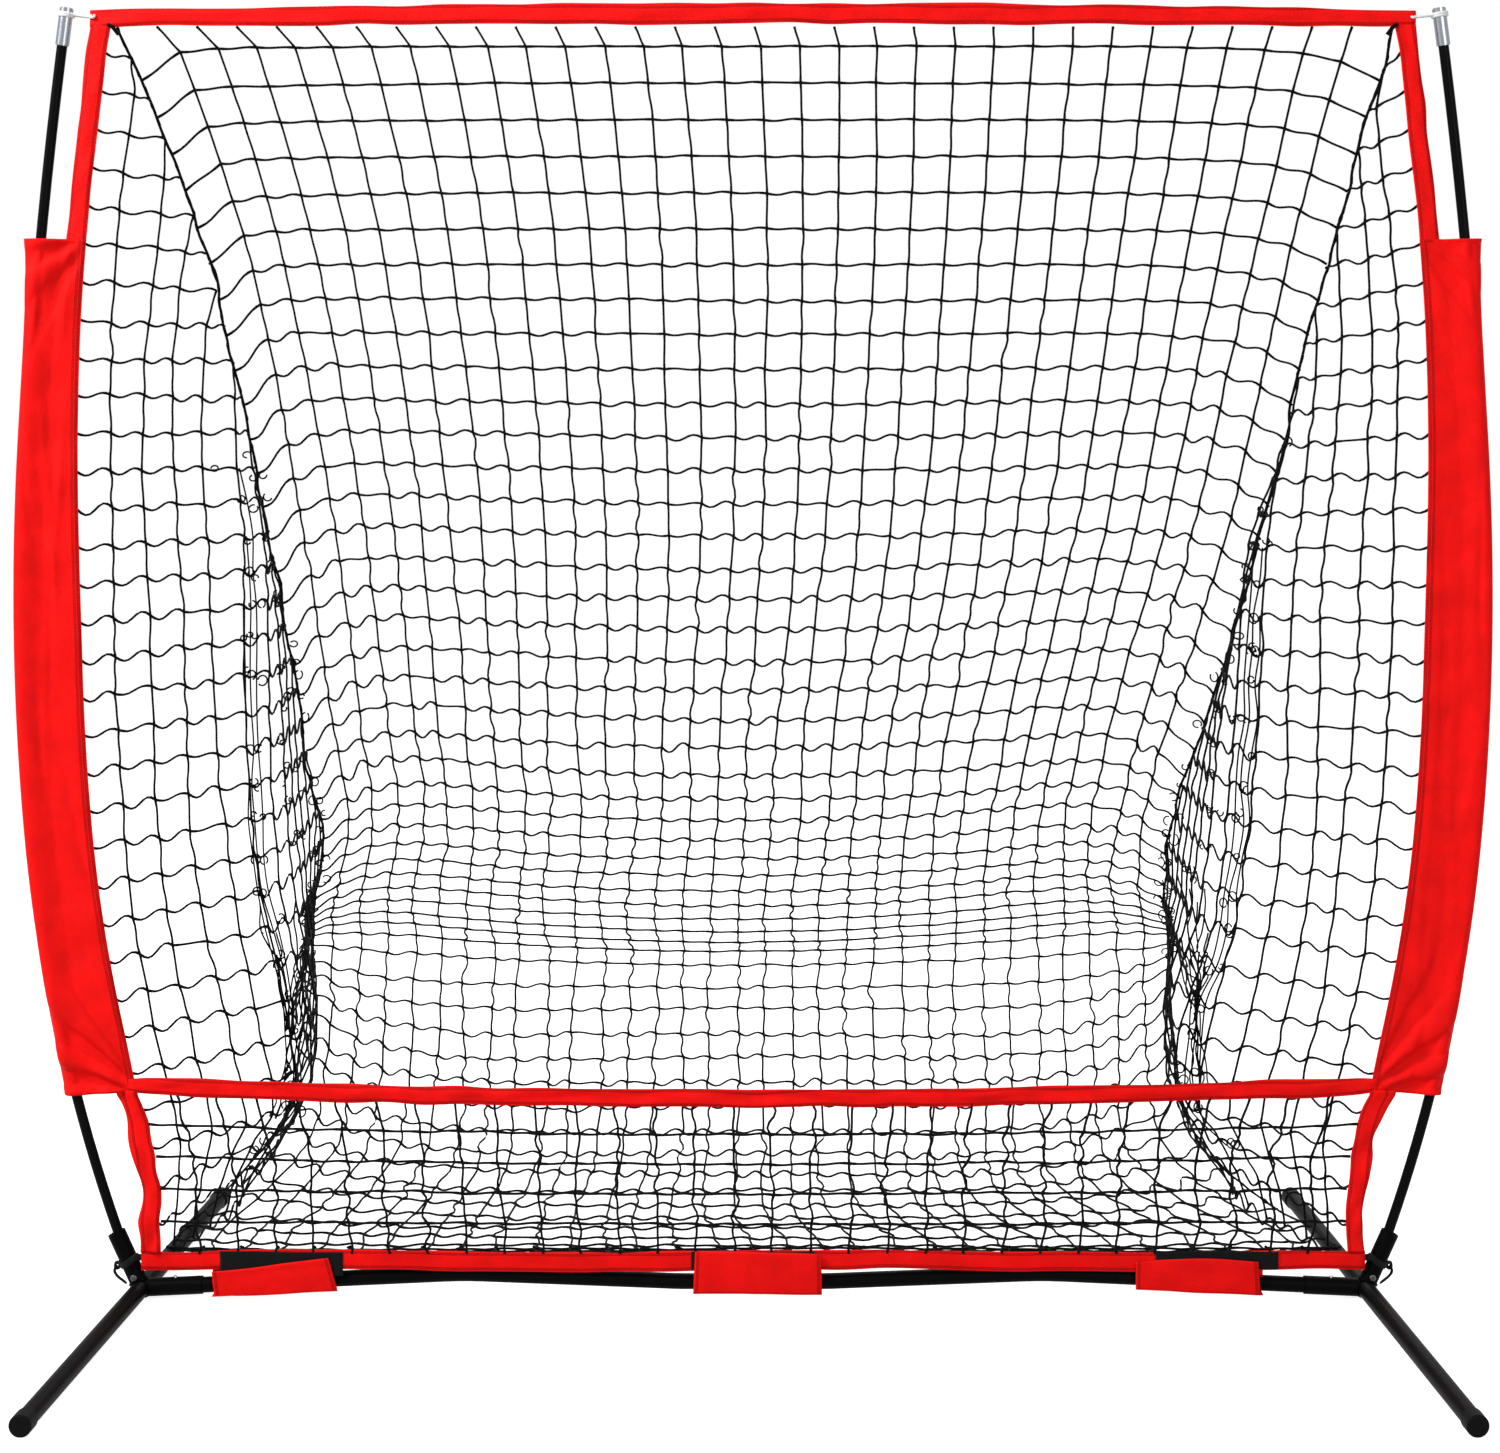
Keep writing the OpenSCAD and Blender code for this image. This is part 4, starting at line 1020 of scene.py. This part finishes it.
def bottom_border():
    x = np.linspace(-LOW_HALF - 0.0235, LOW_HALF + 0.0235, 200)
    dip = 0.0015 * np.sin(x * 9.0 + 0.6)
    piece = strip("bottom_hem", points(x, BOTTOM_Y, BOTTOM_Z + 0.0005 + dip),
                  points(x, BOTTOM_Y, BOTTOM_TOP - 0.0005 + dip * 0.6), red_border,
                  thick=0.0020, puff=0.0, wrinkle=0.00015, edge_wave=0.0008)
    stretched(piece, "bottom_border")


# ---------------- closing tabs

# corners of the cloth, from the lower left one on, as the photo shows them: across, up
LOOP_STRIPS = {
    "left": ((-.651, .0338), (-.501, .0300), (-.501, .0592), (-.651, .0612)),
    "centre": ((-.0755, .0375), (.0755, .0370), (.0755, .0605), (-.0755, .0610)),
    "right": ((.4916, .0395), (.6414, .0390), (.6414, .0610), (.4916, .0612)),
}
TABS = {
    "left": ((-.6583, .0060), (-.5072, .0100), (-.5185, .0535), (-.6606, .0363)),
    "centre": ((-.0734, .0130), (.0841, .0145), (.0832, .0598), (-.0709, .0612)),
    "right": ((.4671, .0185), (.6193, .0125), (.6165, .0482), (.4671, .0477)),
}
WRAP_X = {"left": -0.586, "centre": 0.007, "right": 0.548}
WRAP_HALF = 0.075
WRAP_R = BAR_R + 0.0011


def patch(name, corners, mat, thick, size=(40, 14), wrinkle=0.0005, body=ROOT, curl=0.0,
          bulge=0.0, bow=0.0):
    """A piece of cloth with four corners that faces -Y. Its upper edge curls forward and bows up."""
    u = np.linspace(0, 1, size[0])[:, None, None]
    v = np.linspace(0, 1, size[1])[:, None]
    low = corners[0] * (1 - u) + corners[1] * u
    p = low * (1 - v) + (corners[3] * (1 - u) + corners[2] * u) * v
    w = wrinkles(4, *size, (6, 12), False) * wrinkle
    p[..., 2] += waver(12, size[0])[:, None] * 0.0006 + bow * (np.sin(math.pi * u) * v)[..., 0]
    v = v[:, 0]
    push = curl * ease((v - 0.72) / 0.28) + bulge * np.sin(math.pi * v)
    edge = np.minimum(1, 0.35 + 4 * np.minimum(v, 1 - v))
    half = thick / 2 * edge
    return cloth(name, skins(p, half + w + push, half - w - push), mat, body=body)


def patch_size(c):
    """Height and width of a piece of cloth with four corners, on average."""
    high = np.linalg.norm(c[3] - c[0]) + np.linalg.norm(c[2] - c[1])
    wide = np.linalg.norm(c[1] - c[0]) + np.linalg.norm(c[2] - c[3])
    return round(high / 2, 4), round(wide / 2, 4)


def loop_strips():
    """Black, on the front of the bottom border."""
    pieces = []
    for name, corners in LOOP_STRIPS.items():
        x, z = np.array(corners).T
        corners = points(x, BOTTOM_Y - 0.0019, z)
        o = patch("loop_strip_" + name, corners, loop_tape, 0.0011, wrinkle=0.0004)
        patch_size(corners)
        pieces.append(o)
    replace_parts(pieces[0], "loop_strips")


def tab(name):
    """A tab that turns about its lower fold, and the cloth that goes on behind the bar."""
    body = "tab_%s body" % name
    joint = [j for j in frame["joints"] if j["child"] == body][0]
    at, axis = np.array(joint["pos_m"]), joint["axis"]
    slope = axis[2] / axis[0]
    lo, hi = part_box("tab_" + name)
    x, z = np.array(TABS[name]).T
    corners = points(x, (lo.y + hi.y) / 2 - OFF, z)
    corners[:2, 2] = at[2] + (x[:2] - at[0]) * slope - 0.0004      # the fold
    size = patch_size(corners)
    red_tab = cloth_material("red_tab_" + name, RED, (), ends=(0.004, size[1] - 0.004))
    o = patch("tab_flap_" + name, corners, red_tab, 0.0015, size=(44, 18),
              wrinkle=0.0007, body=body, curl=0.0018 if name == "left" else 0.0006,
              bulge=0.0009, bow=0.005 if name == "right" else 0.0)
    stretched(o, "tab_" + name)
    tab_wrap(name, at, slope)


def tab_wrap(name, at, slope):
    """From the fold under the bar, behind it and up to the bottom border."""
    half_thick = 0.0005
    a = np.linspace(-90, 90, 15)
    run = [(at[1] - OFF + 0.0004, -WRAP_R), (-0.006, -WRAP_R - 0.0001)]
    run += [(WRAP_R * math.cos(rad(q)), WRAP_R * math.sin(rad(q))) for q in a]
    run += [(-0.004, WRAP_R), (BOTTOM_Y + 0.0022, WRAP_R + 0.0004),
            (BOTTOM_Y + 0.0021, BOTTOM_TOP - 0.010 - at[2] - 0.0101)]
    run = np.array(run)
    way = unit(np.gradient(run, axis=0))
    out = half_thick * np.stack([way[:, 1], -way[:, 0]], 1)
    skin = np.concatenate([run + out, (run - out)[::-1]])
    x = np.linspace(WRAP_X[name] - WRAP_HALF, WRAP_X[name] + WRAP_HALF, 26)[:, None]
    z = skin[:, 1] + at[2] + (x - at[0]) * slope + WRAP_R
    o = cloth("tab_wrap_" + name, points(x, skin[:, 0], z), red_wrap)
    if name == "left":
        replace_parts(o, "tab_wraps")


def leaf_spring(name):
    """A copy of the spring of the button, in place of the imported solid."""
    solid = "button_spring_" + name
    o = add_object("leaf_spring_" + name, nodes[solid].data.copy())
    o.matrix_world = nodes[solid].matrix_world
    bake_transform(o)
    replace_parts(o, solid)


# ---------------- straps, elastic, welds

RING = np.linspace(0, 2 * math.pi, 60)


def by_socket(side, x, y, h):
    """A point near a socket: x outwards from it, y back, h up along it."""
    lean = rad(SOCKET_LEAN)
    c, s = math.cos(lean), math.sin(lean)
    return points(side * (HUB[0] + x * c + h * s), y, HUB[1] - x * s + h * c)


def strap_ring(side, name):
    """Webbing wrapped round the socket."""
    inner, outer, half = 0.0113, 0.0127, 0.0040
    across = (-1, -0.4, 0.4, 1)
    skin = [(outer, k) for k in across] + [(inner, k) for k in across[::-1]]
    a = np.linspace(0, 2 * math.pi * 0.985, 46)
    h = 0.037 + 0.0012 * np.sin(2 * a + 0.5)
    lines = [by_socket(side, r * np.cos(a), r * np.sin(a), h + half * k) for r, k in skin]
    cloth("corner_strap_ring_" + name, np.stack(lines, 1), webbing)


def strap_link(side, name):
    """Webbing from the socket to the corner of the net."""
    half = 0.0040
    line = smooth_line([
        by_socket(side, -0.004, -0.0122, 0.0375), by_socket(side, -0.013, -0.0128, 0.040),
        (side * (LOW_HALF + 0.0250), BOTTOM_Y + 0.0016, 0.0525),
        (side * (LOW_HALF + 0.0190), BOTTOM_Y + 0.0022, 0.0530)], 26)
    skin = [(-1, -0.0006), (-0.4, -0.0009), (0.4, -0.0009), (1, -0.0006),
            (1, 0.0006), (0.4, 0.0006), (-0.4, 0.0006), (-1, 0.0006)]
    lines = [line + (0, y, half * k) for k, y in skin]
    o = cloth("corner_strap_link_" + name, np.stack(lines, 1), webbing)
    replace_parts(o, "corner_strap_" + name)


def strap_knot(side, name):
    """The strap's knot, of three turns, and its tail."""
    tubes = Tubes(8)
    x, h, size = 0.0158, 0.037, 0.0017
    middle = by_socket(side, x, 0, h)
    a = np.linspace(0, 2 * math.pi, 22)
    for i in (-1, 0, 1):
        wide = by_socket(side, x + 0.003, 0, h + i * 0.001) - middle
        tall = by_socket(side, x, 0.0008 * i, h + 0.0034) - middle
        centre = by_socket(side, x, 0.001 + 0.002 * i, h)
        tubes.add(centre + np.outer(np.cos(a), wide) + np.outer(np.sin(a), tall), size)
    tail = smooth_line([by_socket(side, *at) for at in (
        (0.0165, -0.003, 0.038), (0.0205, -0.004, 0.033), (0.0200, -0.004, 0.026),
        (0.0150, -0.004, 0.016), (0.0135, -0.004, 0.0125))], 24)
    tubes.add(tail, np.interp(np.linspace(0, 1, 24), [0, .9, 1], [.0018, .0017, .0010]))
    tubes.build("corner_knot_" + name, webbing, "black_fabric")


def elastic_loop(side, name):
    """Two turns in the groove of the cap, and two runs to the top corner."""
    groove = 0.0089
    tubes = Tubes(10)
    x, z, heading = pole(POLE)
    c, s = math.cos(heading), math.sin(heading)
    centre = np.array([side * (x - 0.003 * c), 0, z - 0.003 * s])
    along, out = np.array([side * c, 0, s]), np.array([side * s, 0, -c])
    a = np.linspace(0, 2 * math.pi, 40)
    turn = groove * (np.outer(np.cos(a), out) + np.outer(np.sin(a), (0, 1, 0)))
    for up in (-0.0008, 0.0022):
        tubes.add(centre + turn + along * up, 0.0017)
    corner = np.array([side * (TOP_HALF + 0.021), -0.001, TOP_Z + 0.013])
    for y in (-1, 1):
        tubes.add(smooth_line([
            centre + (-side * 0.004, y * 0.0085, 0.001), centre + (-side * 0.012, y * 0.004, 0),
            corner + (side * 0.004, y * 0.0016, -0.001), corner], 24), 0.0016)
    a = np.linspace(0, 2 * math.pi, 20)
    tubes.add(corner + points(0.0026 * np.cos(a), 0.0028 * np.sin(a), 0.002 * np.sin(a)), 0.0015)
    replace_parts(tubes.build("elastic_" + name, elastic, "elastic_white"), "elastic_loop_" + name)


def corner_rope(side, name):
    """The end of the rope that shows at the top corner."""
    tubes = Tubes(8)
    middle = np.array([side * (TOP_HALF - 0.004), -0.002, TOP_Z - 0.001])
    ends = middle + (side * 0.006, 0.001, 0.004), middle + (-side * 0.006, 0.003, -0.008)
    tubes.add(smooth_line([ends[0], middle, ends[1]], 16), 0.0024)
    tubes.build("corner_rope_" + name, rope_mat, "net_twine")


def weld_beads(side, name):
    """Where the stub and the socket meet the leg."""
    r = 0.0112
    a, b = r * np.cos(RING), r * np.sin(RING)
    tubes = Tubes(8)
    x = -np.sqrt(np.maximum(0, LEG_R ** 2 - b ** 2)) - 0.0008
    stub = points(side * (HUB[0] + np.minimum(x, -0.0035)), a, HUB[1] + b * 0.98)
    tubes.add(stub, 0.0013 + 0.0003 * np.sin(RING * 21))
    h = np.sqrt(np.maximum(0, LEG_R ** 2 - (a * math.cos(rad(SOCKET_LEAN))) ** 2)) + 0.0012
    socket = by_socket(side, a, b, np.maximum(h, 0.0045 + 0.45 * np.abs(a)))
    tubes.add(socket, 0.0013 + 0.0003 * np.sin(RING * 19))
    tubes.build("weld_" + name, powder, "powder_black")


# ---------------- stage, light, camera

def backdrop_rays(tree):
    """1 for the rays that see the background: the camera's own, and those in metal and glass."""
    ray = tree.nodes.new("ShaderNodeLightPath").outputs
    glossy = calc(tree, "MAXIMUM", ray["Is Camera Ray"], ray["Is Glossy Ray"])
    return calc(tree, "MAXIMUM", glossy, ray["Is Transmission Ray"])


def plain_floor():
    """A floor that looks white, with a shadow where the base touches it, and throws little light back."""
    half = 30
    me = bpy.data.meshes.new("floor")
    me.from_pydata([(-half, -half, 0), (half, -half, 0), (half, half, 0), (-half, half, 0)], [],
                   [(0, 1, 2, 3)])
    m = material("floor_white", (0.50, 0.50, 0.50), 0.9, 0.0, 0.1)
    b = m.node_tree.nodes["Principled BSDF"]
    b.inputs["Emission Color"].default_value = (1, 1, 1, 1)
    glow = calc(m.node_tree, "MULTIPLY", backdrop_rays(m.node_tree), 0.86)
    m.node_tree.links.new(glow, b.inputs["Emission Strength"])
    me.materials.append(m)
    add_object("floor", me)


def white_world(strength):
    """White to the rays that see the background, and of this strength as a light."""
    world = bpy.data.worlds.new("studio")
    bpy.context.scene.world = world
    world.use_nodes = True
    tree = world.node_tree
    light = tree.nodes["Background"]
    white = tree.nodes.new("ShaderNodeBackground")
    for background, value in ((light, strength), (white, 1.0)):
        background.inputs["Color"].default_value = (1, 1, 1, 1)
        background.inputs["Strength"].default_value = value
    mix = tree.nodes.new("ShaderNodeMixShader")
    tree.links.new(backdrop_rays(tree), mix.inputs["Fac"])
    tree.links.new(light.outputs["Background"], mix.inputs[1])
    tree.links.new(white.outputs["Background"], mix.inputs[2])
    tree.links.new(mix.outputs["Shader"], tree.nodes["World Output"].inputs["Surface"])


def area_light(name, at, width, height, power):
    """A lamp that looks at the middle of the net."""
    lamp = bpy.data.lights.new(name, "AREA")
    lamp.energy = power
    lamp.shape = "RECTANGLE"
    lamp.size = width
    lamp.size_y = height
    o = add_object(name, lamp)
    o.location = at
    o.rotation_euler = (Vector((0, 0, 0.8)) - Vector(at)).to_track_quat("-Z", "Y").to_euler()


def place_camera():
    """As fitted to the photo: its lens's axis meets the photo off its middle, at these pixels."""
    width, height = 1500, 1453
    axis_x, axis_y = 781, 503
    data = bpy.data.cameras.new("camera")
    camera = add_object("camera", data)
    bpy.context.scene.camera = camera
    camera.location = (0.034, -3.276 + OFF, 1.089)
    camera.rotation_euler = (rad(90 - 2), 0, 0)
    data.sensor_width = 36
    data.lens = 64.8
    data.shift_x = (width / 2 - axis_x) / width
    data.shift_y = (axis_y - height / 2) / width
    data.clip_end = 100


# ---------------- everything

# in this order, because the random draws follow it
dress_solids()
hang_back()
side_runs = {side: side_net(side, name) for side, name in SIDES}
low_front_net()
for side, name in SIDES:
    seam_rope(side, name)
    loose_twine(side, name, *side_runs[side])
top_border()
for side, name in SIDES:
    side_border(side, name)
for side, name in SIDES:
    pocket(side, name)
front_band()
for side, name in SIDES:
    lower_border(side, name)
bottom_border()
loop_strips()
for name in TABS:
    tab(name)
for _, name in SIDES:
    leaf_spring(name)
for side, name in SIDES:
    for build in (strap_ring, strap_link, strap_knot, elastic_loop, corner_rope, weld_beads):
        build(side, name)

plain_floor()
white_world(0.34)
area_light("key", (-3.0, -1.7, 3.2), 1.2, 1.2, 196)
area_light("fill", (2.2, -3.6, 2.2), 2.2, 2.2, 62)
area_light("rim", (0.6, 3.4, 3.0), 2.4, 2.0, 95)
place_camera()
bpy.context.scene.view_settings.view_transform = "Standard"
